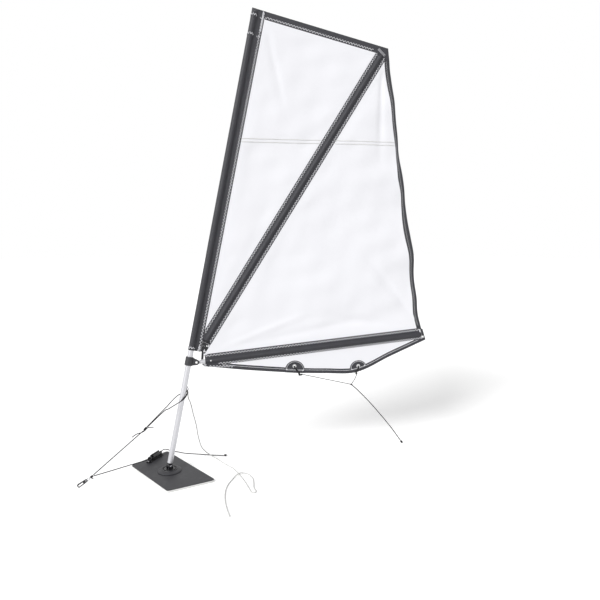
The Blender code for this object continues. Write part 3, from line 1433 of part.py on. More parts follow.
def make_snap_hook(looks, hook):
    """A flat snap hook: eye, throat, and a gate on its own pin. +X runs to the nose."""
    half = HOOK_WIDTH / 2
    begin = -HOOK_EYE_AT
    end = begin + HOOK_LENGTH
    eye_radius = HOOK_EYE_AT
    nose = arc((end - half, 0), half, -90, 90, ARC_STEPS * 2)
    back = arc((0, 0), eye_radius, 90 + HOOK_BACK_WRAP, 270 - HOOK_BACK_WRAP, ARC_STEPS)
    upright = Matrix.Rotation(math.radians(90), 4, "X")
    side = HOOK_THICK / 2
    look = looks["gloss_black"]
    body = prism("snap_hook", nose + back, -side, side, look, hook, upright)
    eye = rod_profile(HOOK_EYE, -side - OVERRUN, side + OVERRUN)
    cut(body, lathe("hook_eye_hole", eye, look, hook, along_y(), ROUND_STEPS * 2 // 3))
    slot_start = HOOK_SLOT_START
    slot_end = end - HOOK_RIM
    high = half - HOOK_RIM
    corners = [(slot_start, -high), (slot_end, -high), (slot_end, high), (slot_start, high)]
    slot = rounded(corners, HOOK_RIM * HOOK_CORNER_SHARE, ARC_STEPS // 2)
    cut(body, prism("hook_slot", slot, -side - OVERRUN, side + OVERRUN, look, hook, upright))

    gate_end = slot_end - HOOK_RIM * GATE_REST_SHARE
    gate_start = slot_start - HOOK_RIM * GATE_PIN_SHARE
    gate_mid = half - HOOK_RIM / 2
    mouth = [(slot_start, high - OVERRUN), (gate_end, high - OVERRUN)]
    mouth += [(gate_end, half + OVERRUN), (slot_start, half + OVERRUN)]
    cut(body, prism("hook_mouth", mouth, -side - OVERRUN, side + OVERRUN, look, hook, upright))
    groove_half = GATE_WIDTH / 2 + GATE_FREE
    pocket_start = gate_start - GATE_THICK / 2 - GATE_FREE * 2
    pocket = [
        (pocket_start, gate_mid - GATE_THICK),
        (slot_start + OVERRUN, gate_mid - GATE_THICK),
        (slot_start + OVERRUN, half + OVERRUN),
        (pocket_start, half + OVERRUN),
    ]
    cut(body, prism("hook_pocket", pocket, -groove_half, groove_half, look, hook, upright))

    radius = GATE_THICK / 2
    bar = arc((gate_start, gate_mid), radius, 90, 270, ARC_STEPS)
    bar += [(gate_end - GATE_FREE, gate_mid - radius), (gate_end - GATE_FREE, gate_mid + radius)]
    width = GATE_WIDTH / 2
    gate = prism("hook_gate", bar, -width, width, looks["black_plastic"], hook, upright)
    pin_at = along_y((gate_start, 0, gate_mid))
    trunnion = rod_profile(GATE_PIN, -side, side)
    join(gate, lathe("gate_trunnion", trunnion, looks["black_plastic"], hook, pin_at, SMALL_STEPS))
    bore = rod_profile(GATE_PIN + CLEARANCE, -side - OVERRUN, side + OVERRUN)
    cut(body, lathe("hook_pin_hole", bore, look, hook, pin_at, SMALL_STEPS))


LOOP_ROUTE = (
    (-0.0820, -0.0024, 0.2470),
    (-0.0650, -0.0070, 0.2590),
    (-0.0400, -0.0135, 0.2790),
    (-0.0130, -0.0178, 0.3000),
    (0.0060, -0.0165, 0.3200),
    (0.0150, -0.0100, 0.3400),
    (0.0184, 0.0000, 0.3480),
    (0.0150, 0.0100, 0.3400),
    (0.0040, 0.0165, 0.3290),
    (-0.0150, 0.0178, 0.3170),
    (-0.0420, 0.0125, 0.2930),
    (-0.0660, 0.0060, 0.2680),
    (-0.0820, 0.0024, 0.2530),
)
SLEEVE_ENDS = (3, 5)
TAIL_ROUTE = (
    (-0.0770, -0.0120, 0.2365),
    (-0.0910, -0.0096, 0.2385),
    (-0.1040, -0.0077, 0.2385),
    (-0.1190, -0.0077, 0.2285),
    (-0.1350, -0.0090, 0.2250),
    (-0.1570, -0.0100, 0.2240),
    (-0.1780, -0.0100, 0.2150),
)


def make_forestay(looks, mast):
    """The forestay, its sliding knot with the tail, and the loop round the mast."""
    look = looks["black_cord"]
    foot = Vector(ADJUSTER_FOOT)
    run = Vector(ADJUSTER_RUN).normalized()
    bow = Vector(BOW_KNOT_AT)
    lead = (foot - bow).normalized()
    start = bow - lead * CLEARANCE * 2 + Vector((0, 0, KNOT_RADIUS / 2))
    end = foot - run * CLEARANCE
    stay = [start, start.lerp(end, 0.5), end]
    cord("forestay", stay, STAY_CORD, look, None, LONG_CORD_SPACING)
    knot("adjuster_knot", foot, run, ADJUSTER_LENGTH, ADJUSTER_RADIUS, 4, look, None)
    top = foot + run * (ADJUSTER_LENGTH + CLEARANCE)
    to_world = mast.matrix_basis
    route = [to_world @ Vector(point) for point in LOOP_ROUTE]
    beside = Vector((0, STAY_CORD / 2 + CLEARANCE, 0))
    path = [top - beside] + route + [top + beside]
    cord("stay_loop", path, STAY_CORD, look, None)
    points = smooth_route(path, STAY_CORD * CORD_SPACING)
    first, last = (
        min(range(len(points)), key=lambda k: (points[k] - route[end]).length) for end in SLEEVE_ENDS
    )
    bore = STAY_CORD / 2 + SLEEVE_CORD_FREE
    outer = bore + SLEEVE_CORD_WALL
    swept("stay_sleeve", points[first : last + 1], outer, looks["black_cloth"], None, 10, bore)
    cord("adjuster_tail", TAIL_ROUTE, STAY_CORD * TAIL_SHARE, look, None)


CONTROL_ROUTE = (
    (-0.3420, 0.0014, 0.0889),
    (-0.2600, 0.0398, 0.0720),
    (-0.1500, 0.0913, 0.0500),
    (-0.0800, 0.1232, 0.0360),
    (-0.0330, 0.1452, 0.0262),
    (-0.0243, 0.1499, 0.0254),
    (-0.0068, 0.1592, 0.0251),
    (0.0223, 0.1747, 0.0251),
    (0.0515, 0.1902, 0.0252),
    (0.0620, 0.1955, 0.0264),
    (0.0800, 0.2040, 0.0290),
    (0.1040, 0.2110, 0.0190),
    (0.1270, 0.2060, 0.0065),
    (0.1480, 0.1880, 0.0024),
    (0.1660, 0.1500, 0.0022),
    (0.2120, 0.0925, 0.0022),
    (0.2550, 0.0380, 0.0022),
    (0.2920, -0.0040, 0.0022),
)

WHITE_ROUTE = (
    (0.1070, 0.0035, 0.3270),
    (0.1140, 0.0055, 0.3140),
    (0.1190, 0.0070, 0.3020),
    (0.1270, 0.0100, 0.2780),
    (0.1380, 0.0140, 0.2380),
    (0.1500, 0.0180, 0.2000),
    (0.1580, 0.0210, 0.1690),
    (0.1640, 0.0230, 0.1350),
    (0.1730, 0.0260, 0.1030),
    (0.1880, 0.0310, 0.0640),
    (0.2120, 0.0375, 0.0345),
    (0.2320, 0.0420, 0.0150),
    (0.2415, 0.0400, 0.0068),
    (0.2450, 0.0270, 0.0034),
    (0.2460, 0.0080, 0.0026),
    (0.2455, -0.0120, 0.0026),
    (0.2390, -0.0850, 0.0026),
    (0.2400, -0.1420, 0.0026),
    (0.2300, -0.2000, 0.0026),
    (0.2160, -0.2500, 0.0026),
    (0.1980, -0.3050, 0.0026),
    (0.1760, -0.3640, 0.0026),
    (0.1640, -0.3930, 0.0026),
    (0.1600, -0.4080, 0.0026),
    (0.1690, -0.4180, 0.0026),
    (0.1810, -0.4080, 0.0026),
    (0.1930, -0.3780, 0.0026),
    (0.2190, -0.3420, 0.0026),
    (0.2430, -0.3030, 0.0028),
    (0.2520, -0.2640, 0.0040),
    (0.2430, -0.2390, 0.0068),
    (0.2230, -0.2300, 0.0086),
    (0.1980, -0.2360, 0.0060),
    (0.1690, -0.2520, 0.0028),
    (0.1210, -0.2860, 0.0026),
    (0.0780, -0.3320, 0.0026),
    (0.0370, -0.3910, 0.0026),
    (0.0040, -0.4520, 0.0026),
    (-0.0230, -0.5120, 0.0026),
)


def make_loose_cords(looks, mast):
    """The control line through the cleat, and the slack white cord from the pad eye."""
    look = looks["black_cord"]
    cord("control_line", CONTROL_ROUTE, STAY_CORD, look, None, LONG_CORD_SPACING)
    last = Vector(CONTROL_ROUTE[-1])
    run = (last - Vector(CONTROL_ROUTE[-2])).normalized()
    at = last + run * CLEARANCE + Vector((0, 0, KNOT_RADIUS - STAY_CORD / 2))
    knot("control_knot", at, run, KNOT_LENGTH, KNOT_RADIUS, 3, look, None)

    look = looks["white_cord"]
    leg = MAST_RADIUS + EYE_BASE_THICK + RIVET_HEAD + CLEARANCE * 2 + KNOT_RADIUS
    straight, bow = eye_bow()
    drop = EYE_SPREAD * math.sqrt(1 - ((leg - straight) / bow) ** 2)
    height = EYE_HEIGHT - drop - EYE_WIRE - CLEARANCE * 2
    hung = mast.matrix_basis @ Vector((leg, 0, height))
    fall = (Vector(WHITE_ROUTE[0]) - hung).normalized()
    knot("white_knot", hung, fall, SMALL_KNOT_LENGTH, KNOT_RADIUS, 2, look, None)
    start = hung + fall * (SMALL_KNOT_LENGTH + CLEARANCE)
    cord("white_cord", (start,) + WHITE_ROUTE, WHITE_CORD, look, None, LONG_CORD_SPACING)


def make_looks():
    """The finishes of the photograph, as plain colours."""
    return {
        "foam": material("white_foam", (0.85, 0.85, 0.84), 0.85, 0.0),
        "plate": material("black_sheet", (0.055, 0.056, 0.060), 0.55, 0.0),
        "black_plastic": material("black_plastic", (0.035, 0.036, 0.040), 0.45, 0.0),
        "gloss_black": material("gloss_black", (0.012, 0.012, 0.014), 0.2, 0.0),
        "white_plastic": material("white_plastic", (0.86, 0.86, 0.86), 0.35, 0.0),
        "pale_plastic": material("pale_plastic", (0.62, 0.62, 0.64), 0.4, 0.0),
        "steel": material("stainless_steel", (0.62, 0.62, 0.63), 0.3, 1.0),
        "eyelet": material("nickel_eyelet", (0.75, 0.75, 0.76), 0.35, 1.0),
        "aluminium": material("anodised_aluminium", (0.70, 0.70, 0.73), 0.38, 0.9),
        "black_cloth": material("black_sailcloth", (0.045, 0.046, 0.052), 0.75, 0.0),
        "white_cloth": material("white_sailcloth", (0.88, 0.88, 0.90), 0.6, 0.0),
        "black_cord": material("black_cord", (0.02, 0.02, 0.022), 0.8, 0.0),
        "white_cord": material("white_cord", (0.86, 0.86, 0.85), 0.75, 0.0),
    }


def main():
    """Clears the scene, sets up the frames and makes each group of pieces."""
    for old in list(bpy.data.objects):
        bpy.data.objects.remove(old)
    looks = make_looks()
    bore = make_deck_plate(looks)
    make_foot_flange(looks, bore)
    make_foot_fork(looks, bore)
    make_cleat(looks)

    lean = Matrix.Rotation(math.radians(MAST_RAKE), 4, "Y")
    mast = frame("mast_frame", None, Matrix.Translation((0, 0, PIN_HEIGHT)) @ lean)
    sail = frame("sail_frame", mast, Matrix.Rotation(math.radians(-SAIL_SWING), 4, "Z"))
    gooseneck = Matrix.Translation((GOOSENECK_REACH, 0, GOOSENECK_HEIGHT))
    rise = Matrix.Rotation(math.radians(-BOOM_RISE), 4, "Y")
    boom = frame("boom_frame", sail, gooseneck @ rise)

    make_mast(looks, mast)
    make_stay_eye(looks, mast)
    make_collar(looks, sail)
    make_luff_sleeve(looks, sail)
    make_sprit(looks, sail)
    make_sail_panels(looks, sail)
    make_tack_strap(looks, sail)
    make_boom(looks, boom)
    make_boom_sleeve(looks, boom)
    band, panel = make_foot(looks, boom)
    make_foot_patches(looks, boom, band, panel)
    make_bridle(looks, boom)
    make_bow_fittings(looks)
    make_forestay(looks, mast)
    make_loose_cords(looks, mast)
    bpy.context.view_layer.update()


main()
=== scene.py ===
"""The finished look of a small sprit sail for a canoe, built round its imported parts.

Metres, +Z up, +X aft and +Y to starboard. Three nested frames carry the moving
pieces, as in the parts: the mast frame stands on the fold pin, the sail frame
turns about the mast, and the boom frame turns on the gooseneck pin. A point of
the sail or the boom plane is (along, up), and its height off the cloth is +Y.
"""

import json
import math

import bmesh
import bpy
import numpy as np
from bpy.props import FloatProperty, FloatVectorProperty, PointerProperty
from mathutils import Matrix, Vector

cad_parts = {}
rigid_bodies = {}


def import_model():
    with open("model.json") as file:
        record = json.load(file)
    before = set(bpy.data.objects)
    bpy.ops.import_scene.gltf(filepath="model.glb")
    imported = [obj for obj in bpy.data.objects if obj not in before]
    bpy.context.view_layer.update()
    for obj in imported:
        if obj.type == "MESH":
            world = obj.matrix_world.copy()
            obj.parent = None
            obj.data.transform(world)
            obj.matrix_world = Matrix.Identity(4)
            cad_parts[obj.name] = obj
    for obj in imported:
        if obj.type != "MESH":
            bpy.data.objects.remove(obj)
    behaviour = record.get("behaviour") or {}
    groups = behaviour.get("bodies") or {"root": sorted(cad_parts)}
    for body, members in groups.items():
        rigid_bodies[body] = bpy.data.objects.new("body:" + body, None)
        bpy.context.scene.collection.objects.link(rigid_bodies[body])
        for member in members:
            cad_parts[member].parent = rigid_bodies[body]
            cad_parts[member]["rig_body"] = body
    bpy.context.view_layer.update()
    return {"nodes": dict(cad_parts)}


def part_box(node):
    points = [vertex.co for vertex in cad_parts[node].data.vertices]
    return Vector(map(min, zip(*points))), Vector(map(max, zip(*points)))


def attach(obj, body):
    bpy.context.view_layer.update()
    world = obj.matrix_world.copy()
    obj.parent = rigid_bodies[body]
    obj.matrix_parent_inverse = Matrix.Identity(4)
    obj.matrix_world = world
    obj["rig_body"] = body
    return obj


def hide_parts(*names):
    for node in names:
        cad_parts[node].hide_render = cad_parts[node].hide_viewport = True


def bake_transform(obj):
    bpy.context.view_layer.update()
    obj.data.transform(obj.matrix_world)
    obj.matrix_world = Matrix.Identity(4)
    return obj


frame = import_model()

bl_info = {
    "name": "Canoe Sail Finish",
    "version": (1, 0, 0),
    "blender": (4, 5, 0),
    "location": "3D View > Sidebar > Canoe Sail",
    "description": "Sews, rigs and finishes a small sprit sail round its packed parts",
    "category": "Object",
}

# Attitude of the rig in degrees, and the heights that carry it
MAST_RAKE = 13.6
SAIL_SWING = 30.0
BOOM_RISE = 16.3
PIN_HEIGHT = 0.0344
GOOSENECK_HEIGHT = 0.4805
GOOSENECK_REACH = 0.034
CLEARANCE = 0.0003

# Spars
MAST_TOP = 2.1555
BOOM_RADIUS = 0.009
SPRIT_HEEL = (0.0417, 0.5455)
SPRIT_LEAN = 68.90
SPRIT_SLEEVE_END = 1.697
SPRIT_SEAM = 0.0405
PEAK_TAB = ((0.631, 2.1575), (0.673, 2.1305))
TAB_WIDTH = 0.0150

# Outline of the sail
LUFF_FOOT = 0.5315
LUFF_BULGE = 0.0140
LUFF_TAIL = 0.044
LUFF_TAIL_HEAD = 0.052
HEAD_TOP = 2.1735
HEAD_BAND = 0.040
PEAK_REACH = 0.682
PEAK_PATCH = 0.024
HEAD_LOW = HEAD_TOP - HEAD_BAND
PEAK_LOW = HEAD_TOP - HEAD_BAND - PEAK_PATCH
SPRIT_SLEEVE_HALF = 0.029
SPRIT_BULGE = 0.0095
HEEL_RISE = 0.003
SLEEVE_LEAVE = 60.0
SLEEVE_SETTLE_SHARE = 1.8
SEWN_STRIP = 0.002
SEAM_THICK = 0.0024
BAND_THICK = 0.0018
CLOTH_THICK = 0.0006
WALL_THICK = 0.0008
TUCK = 0.007
SEAM_FROM = (0.0475, 1.5405)
SEAM_TO = (0.7965, 1.7100)
SEAM_LAP = 0.020
LEECH_BAND = 0.019
LEECH_HOLLOW = 0.018
LEECH_FOOT = 1.130
LEECH_STEPS = 800
PANEL_ROWS = 120
LEECH_HOLLOW_SHARES = (
    (0.0, 0.0), (0.1, 0.18), (0.2, 0.22), (0.29, 0.2), (0.37, 0.6), (0.46, 0.4), (0.51, 0.16),
    (0.56, 0.28), (0.61, 0.48), (0.67, 0.25), (0.75, -0.1), (0.83, 0.45), (0.89, 0.55), (0.95, 0.7),
    (1.0, 0.3),
)
LEECH_WIDTH_SHARES = (
    (0.0, 1.45), (0.11, 1.45), (0.21, 1.08), (0.31, 1.07), (0.36, 0.78), (0.41, 0.97), (0.46, 1.35),
    (0.52, 1.15), (0.6, 1.4), (0.66, 1.6), (0.72, 1.45), (0.8, 1.3), (1.0, 1.3),
)

# Boom sleeve and foot
BOOM_SLEEVE_START = 0.040
BOOM_SLEEVE_END = 1.118
BOOM_SLEEVE_UP = 0.032
BOOM_SLEEVE_DOWN = 0.024
BOOM_SLEEVE_NOSE_DOWN = 0.0115
BOOM_SLEEVE_NOSE = 0.080
BOOM_BULGE = 0.0105
CLEW_TOP = 0.026
CLEW_TOP_SETBACK = 0.0095
CLEW_OVERLAP = 0.006
CLEW_SPARE = 0.0002
# How far the clew's eyelet lies before the foot's end, and above the boom's axis
CLEW_EYELET = (0.013, -0.0135)
FOOT_START = 0.0255
FOOT_END = 1.1415
FOOT_DEPTH = 0.146
FOOT_BAND = 0.024
FOOT_TIP = 0.005
FOOT_SHARES = (
    (0.0, 0.095), (0.0056, 0.153), (0.157, 0.408), (0.276, 0.588), (0.395, 0.753), (0.52, 0.893),
    (0.653, 1.0), (0.827, 0.603), (1.0, 0.2055),
)
STRAP_REACH = 0.0535
STRAP_WIDTH = 0.0105
STRAP_RUN = (-0.15, 1.0)
STRAP_LAP = 0.006
STRAP_THICK = 0.0020
HEEL_SPARE = 0.0006

# How the cloth above the boom stands off its plane: the strips that the seams hold flat,
# the leech's waves (height, count, start), the cloth's unevenness (size, seed, height) and
# its creases (corner, a point that each runs toward, width, height, reach)
BOOM_HOLD = 0.07
SEAM_HOLD = 0.06
FLUTTER_HOLD = 0.05
FLUTTER_DEPTH = 0.09
TACK_REACH = 0.06
LEECH_WAVES = ((1.0, 3.9, 0.10), (0.45, 7.3, 0.35))
UNEVEN = ((0.42, 5, 0.0030), (0.11, 8, 0.0011))
CREASES = (
    ("tack", (0.90, 0.86), 0.026, 0.0052, 0.95),
    ("tack", (0.62, 0.86), 0.018, -0.0040, 0.60),
    ("clew", (0.42, 0.78), 0.026, 0.0046, 0.62),
    ("clew", (0.55, 1.30), 0.030, 0.0036, 0.55),
    ((0.66, 2.10), (0.80, 1.25), 0.026, 0.0040, 0.60),
    ((0.055, 2.13), (0.30, 1.55), 0.020, 0.0034, 0.50),
    ((0.10, 1.62), (0.34, 1.58), 0.016, 0.0026, 0.30),
)

# Half-moon patches at the foot: place, radius, eyelet rise, knot shift and knot length
PATCH_RISE = 0.009
PATCH_THICK = 0.0010
MOONS = {
    "fore": (0.455, 0.0485, 0.022, 0.026, 0.022),
    "aft": (0.773, 0.043, 0.010, -0.0125, 0.010),
}
MOON_HEIGHT_SHARES = {"fore": 1.0, "aft": 0.88}
EYELET_HOLE = 0.0042
EYELET_LIP = 0.001
HOLE_SPARE = 0.0004
DRILL_REACH = 0.01
MOON_ROW_INSET = 0.0055
KNOT_DROP = 0.0095
SMALL_KNOT_RADIUS = 0.0042
SMALL_KNOT_LENGTH = 0.010
KNOT_RADIUS = 0.005
KNOT_LENGTH = 0.014

# Sewing: rows near an edge, plain stitches and tack bars
NEAR_EDGE = 0.0085
ROW_END = 0.004
HEM_RISE = 0.012
STITCH_PITCH = 0.0042
SEAM_PITCH = 0.006
TACK_PITCH = 0.0018
TACK_WIDTH = 0.005
WIDE_TACK = 0.006
TACK_RISE = 0.0006
# Heights of the two rows of sewing that cross the luff sleeve at its head
HEAD_ROWS = (MAST_TOP - 0.018, HEAD_TOP - 0.129)
# Seven waves of the hem's zigzag go round the mast's side, with four steps in each
HEM_STEPS = 29
HEM_TURN = (30.0, 330.0)
# Tack bars at the luff's foot, as places above it, and the row and the bar at the foot's nose
LUFF_TACKS = (
    ((0.0315, 0.0165), (0.0345, 0.0245), TACK_WIDTH),
    ((0.0305, 0.0020), (0.0315, 0.0060), WIDE_TACK),
)
NOSE_ROW = ((0.050, -0.0255), (0.170, -0.0400))
NOSE_TACK = ((0.0320, -0.0165), (0.0420, -0.0180))
# The leech's tape runs on past the boom sleeve's upper edge, where the clew covers it
LEECH_TAPE_END_SHARE = 1.011
RIVET_RADIUS = 0.0032
RIVET_DOME = 0.0014

# Cords
STAY_CORD = 0.004
STAY_SLEEVE_WALL = 0.0014
TAIL_CORD = 0.0036
SHEET_CORD = 0.004
LASHING_CORD = 0.0026
BRIDLE_CORD = 0.003
WHITE_CORD = 0.005
WHITE_STRAND = 0.0036
# The white cord lies with the deck from this point of its route on
BOW_KNOT_AT = (-0.345, 0.0, 0.0915)
BOW_DROP = 23.0
ADJUSTER_FOOT = (-0.119, 0.0, 0.2285)
ADJUSTER_RUN = (0.818, 0.0, 0.575)
ADJUSTER_LENGTH = 0.020
ADJUSTER_RADIUS = 0.0055
BRIDLE_JOINT = (0.7287, 0.0, -0.2019)

# Camera, found from the photograph: 600 pixels square, in focal pixels
CAMERA_AT = (-1.130, -2.148, 1.0543)
CAMERA_HEADING = 48.1
CAMERA_DIP = 6.35
FOCUS_PX = 539.0
PICTURE_PX = 600.0
SENSOR_MM = 36.0

# Stage
FLOOR_HALF = 30.0
FLOOR_GLOW = 0.34
LAMP_SPREAD = 26.0
LAMP_WAY = (1.0, 0.15, -0.75)

# Fineness of the meshes
ROUTE_STEPS = 24
CORD_SIDES = 12
RIVET_SIDES = 28
FOOT_STEPS = 160
MERGE = 1e-6
SHARP_ANGLE = 35.0

LOOP_ROUTE = (
    (-0.082, -0.0024, 0.247), (-0.065, -0.007, 0.259), (-0.04, -0.0135, 0.279),
    (-0.013, -0.0178, 0.3), (0.006, -0.0165, 0.32), (0.015, -0.01, 0.34), (0.0184, 0.0, 0.348),
    (0.015, 0.01, 0.34), (0.004, 0.0165, 0.329), (-0.015, 0.0178, 0.317), (-0.042, 0.0125, 0.293),
    (-0.066, 0.006, 0.268), (-0.082, 0.0024, 0.253),
)
SLEEVE_ENDS = (3, 5)
TAIL_ROUTE = (
    (-0.077, -0.012, 0.2365), (-0.091, -0.0096, 0.2385), (-0.104, -0.0077, 0.2385),
    (-0.119, -0.0077, 0.2285), (-0.135, -0.009, 0.225), (-0.157, -0.01, 0.224),
    (-0.178, -0.01, 0.215),
)
CONTROL_ROUTE = (
    (-0.342, 0.0014, 0.0889), (-0.26, 0.0398, 0.072), (-0.15, 0.0913, 0.05), (-0.08, 0.1232, 0.036),
    (-0.033, 0.1452, 0.0262), (-0.0243, 0.1499, 0.0254), (-0.0068, 0.1592, 0.0251),
    (0.0223, 0.1747, 0.0251), (0.0515, 0.1902, 0.0252), (0.062, 0.1955, 0.0264),
    (0.08, 0.204, 0.029), (0.104, 0.211, 0.019), (0.127, 0.206, 0.0065), (0.148, 0.188, 0.0024),
    (0.166, 0.15, 0.0022), (0.212, 0.0925, 0.0022), (0.255, 0.038, 0.0022), (0.292, -0.004, 0.0022),
)
WHITE_ROUTE = (
    (0.107, 0.0035, 0.327), (0.114, 0.0055, 0.314), (0.119, 0.007, 0.302), (0.127, 0.01, 0.278),
    (0.138, 0.014, 0.238), (0.15, 0.018, 0.2), (0.158, 0.021, 0.169), (0.164, 0.023, 0.135),
    (0.173, 0.026, 0.103), (0.188, 0.031, 0.064), (0.212, 0.0375, 0.0345), (0.232, 0.042, 0.015),
    (0.2415, 0.04, 0.0068), (0.245, 0.027, 0.0034), (0.246, 0.008, 0.0026),
    (0.2455, -0.012, 0.0026), (0.239, -0.085, 0.0026), (0.24, -0.142, 0.0026), (0.23, -0.2, 0.0026),
    (0.216, -0.25, 0.0026), (0.198, -0.305, 0.0026), (0.176, -0.364, 0.0026),
    (0.164, -0.393, 0.0026), (0.16, -0.408, 0.0026), (0.169, -0.418, 0.0026),
    (0.181, -0.408, 0.0026), (0.193, -0.378, 0.0026), (0.219, -0.342, 0.0026),
    (0.243, -0.303, 0.0028), (0.252, -0.264, 0.004), (0.243, -0.239, 0.0068),
    (0.223, -0.23, 0.0086), (0.198, -0.236, 0.006), (0.169, -0.252, 0.0028),
    (0.121, -0.286, 0.0026), (0.078, -0.332, 0.0026), (0.037, -0.391, 0.0026),
    (0.004, -0.452, 0.0026), (-0.023, -0.512, 0.0026),
)
SHEET_ROUTE = (
    (0.7325, -0.0009, -0.2066), (0.755, -0.019, -0.233), (0.801, -0.064, -0.3),
    (0.854, -0.12, -0.39), (0.89, -0.164, -0.464),
)


def nested_frames():
    """The mast, sail and boom frames as 4 by 4 arrays: each turns inside the one before it."""
    mast = Matrix.Translation((0, 0, PIN_HEIGHT)) @ Matrix.Rotation(math.radians(MAST_RAKE), 4, "Y")
    sail = mast @ Matrix.Rotation(math.radians(-SAIL_SWING), 4, "Z")
    gooseneck = Matrix.Translation((GOOSENECK_REACH, 0, GOOSENECK_HEIGHT))
    boom = sail @ gooseneck @ Matrix.Rotation(math.radians(-BOOM_RISE), 4, "Y")
    return np.array(mast), np.array(sail), np.array(boom)


MAST, SAIL, BOOM = nested_frames()
# Rivets: place in their frame, body (none where the piece is left unattached) and the cloth's face
RIVETS = (
    ("heel_rivet_high", (0.0668, 0.5618), SAIL, "sail", 0.0019),
    ("heel_rivet_low", (0.0632, 0.5352), SAIL, None, 0.0019),
    ("boom_rivet", (0.0652, 0.0001), BOOM, "boom", BOOM_BULGE + 0.0002),
)


def linear(hex_colour):
    """An sRGB hex colour as linear red, green and blue."""
    shares = [int(hex_colour[k : k + 2], 16) / 255 for k in (1, 3, 5)]
    return tuple(s / 12.92 if s <= 0.04045 else ((s + 0.055) / 1.055) ** 2.4 for s in shares)


def colour_property(name, description, hex_colour):
    """A colour that the sidebar shows."""
    return FloatVectorProperty(
        name=name, description=description, subtype="COLOR", size=3, min=0.0, max=1.0,
        default=linear(hex_colour),
    )


def number_property(name, description, default, low, high, **more):
    """A number that the sidebar shows."""
    return FloatProperty(
        name=name, description=description, default=default, min=low, soft_max=high, **more
    )


def length_property(name, description, default):
    """A length that the sidebar shows."""
    return number_property(name, description, default, 0.0, default * 4, precision=5, unit="LENGTH")


class CanoeSailCloth(bpy.types.PropertyGroup):
    """Colours and sizes of the sailcloth and its sewing."""

    white: colour_property("Sail panels", "White polyester sailcloth", "#ededf1")
    black: colour_property("Sleeves and bands", "Charcoal polyester cloth", "#2e2e34")
    patch: colour_property("Patches", "Black webbing and heel patch", "#222226")
    thread: colour_property("Thread", "Pale sewing thread", "#ececf0")
    thread_width: length_property("Thread width", "Drawn wider than real thread, to show", 0.0023)
    zigzag_pitch: length_property("Zigzag pitch", "Length of one zigzag along its row, drawn long", 0.0145)
    zigzag_width: length_property("Zigzag width", "How far a zigzag swings", 0.0100)
    weave: length_property("Weave spacing", "From one drawn thread of the cloth to the next", 0.0012)
    flutter: length_property("Leech flutter", "How far the loose leech waves off its plane", 0.006)


class CanoeSailRigging(bpy.types.PropertyGroup):
    """Colours and sizes of the cords."""

    black: colour_property("Black cord", "Braided polyester cord", "#1d1d20")
    white: colour_property("White cord", "Braided polyester cord", "#efefed")
    plait: number_property("Plaits around", "How many plaits lie round a cord", 8.0, 2.0, 16.0)


class CanoeSailFittings(bpy.types.PropertyGroup):
    """Colours of the spars and fittings."""

    aluminium: colour_property("Tubes", "Clear anodised aluminium", "#d3d3d7")
    steel: colour_property("Steel", "Polished stainless steel", "#a9a9ad")
    nickel: colour_property("Eyelets", "Nickel-plated brass", "#dededf")
    matte: colour_property("Black nylon", "Moulded, finely grained", "#2c2c30")
    gloss: colour_property("Gloss black nylon", "Moulded in a polished tool", "#16161a")
    plate: colour_property("Deck plate", "Black polyethylene sheet, scuffed", "#28282c")
    foam: colour_property("Foam pad", "Closed-cell foam, white", "#f0f0ee")
    white: colour_property("White nylon", "Pin heads and rivets", "#f3f3f3")
    pale: colour_property("Boom end", "Grey acetal", "#c4c4c8")


class CanoeSailStage(bpy.types.PropertyGroup):
    """Colours and strengths of the stage."""

    floor: colour_property("Floor", "Pale floor", "#f4f4f4")
    surround: number_property("Surround", "Strength of the even light", 0.45, 0.0, 2.0)
    lamp: number_property("Lamp", "Strength of the soft key lamp", 2.65, 0.0, 5.0)


def add(tree, kind, inputs=None, **settings):
    """Adds a shader node, with its settings, and its inputs as values or as sockets to link."""
    made = tree.nodes.new("ShaderNode" + kind)
    for key, value in settings.items():
        setattr(made, key, value)
    for key, value in (inputs or {}).items():
        if isinstance(value, bpy.types.NodeSocket):
            tree.links.new(value, made.inputs[key])
        else:
            made.inputs[key].default_value = value
    return made


def maths(tree, operation, *values):
    """The result of a sum on values or sockets."""
    return add(tree, "Math", dict(enumerate(values)), operation=operation).outputs[0]


def noise(tree, place, size, detail, **more):
    """Noise whose spots are about a size across."""
    inputs = {"Vector": place, "Scale": 1 / size, "Detail": detail, **more}
    return add(tree, "TexNoise", inputs).outputs[0]


def own_place(tree):
    """The piece's own coordinates."""
    return add(tree, "TexCoord").outputs["Object"]


def new_material(name, colour, roughness, metallic=0.0):
    """A Principled material. Returns it, its node tree and its shader."""
    made = bpy.data.materials.new(name)
    made.use_nodes = True
    shader = made.node_tree.nodes["Principled BSDF"]
    shader.inputs["Base Color"].default_value = (*colour, 1.0)
    shader.inputs["Roughness"].default_value = roughness
    shader.inputs["Metallic"].default_value = metallic
    return made, made.node_tree, shader


def mixed(tree, shader, share, colour, other):
    """Mixes from a colour to another where share is high, into the base colour."""
    mix = add(tree, "Mix", {0: share, 6: (*colour, 1.0), 7: (*other, 1.0)}, data_type="RGBA")
    tree.links.new(mix.outputs[2], shader.inputs["Base Color"])


def tinted(tree, shader, colour, share, amount):
    """Darkens the base colour by an amount where share is high."""
    mixed(tree, shader, share, colour, tuple(c * (1.0 - amount) for c in colour))


def bumped(tree, shader, height, depth):
    """Feeds a height in 0 to 1, worth a real depth, into the shader's normal."""
    bump = add(tree, "Bump", {"Height": height, "Distance": depth, "Strength": 1.0})
    tree.links.new(bump.outputs["Normal"], shader.inputs["Normal"])


def band_scale(spacing):
    """Scale of a Wave texture whose bands repeat every spacing metres."""
    return math.tau / 20.0 / spacing


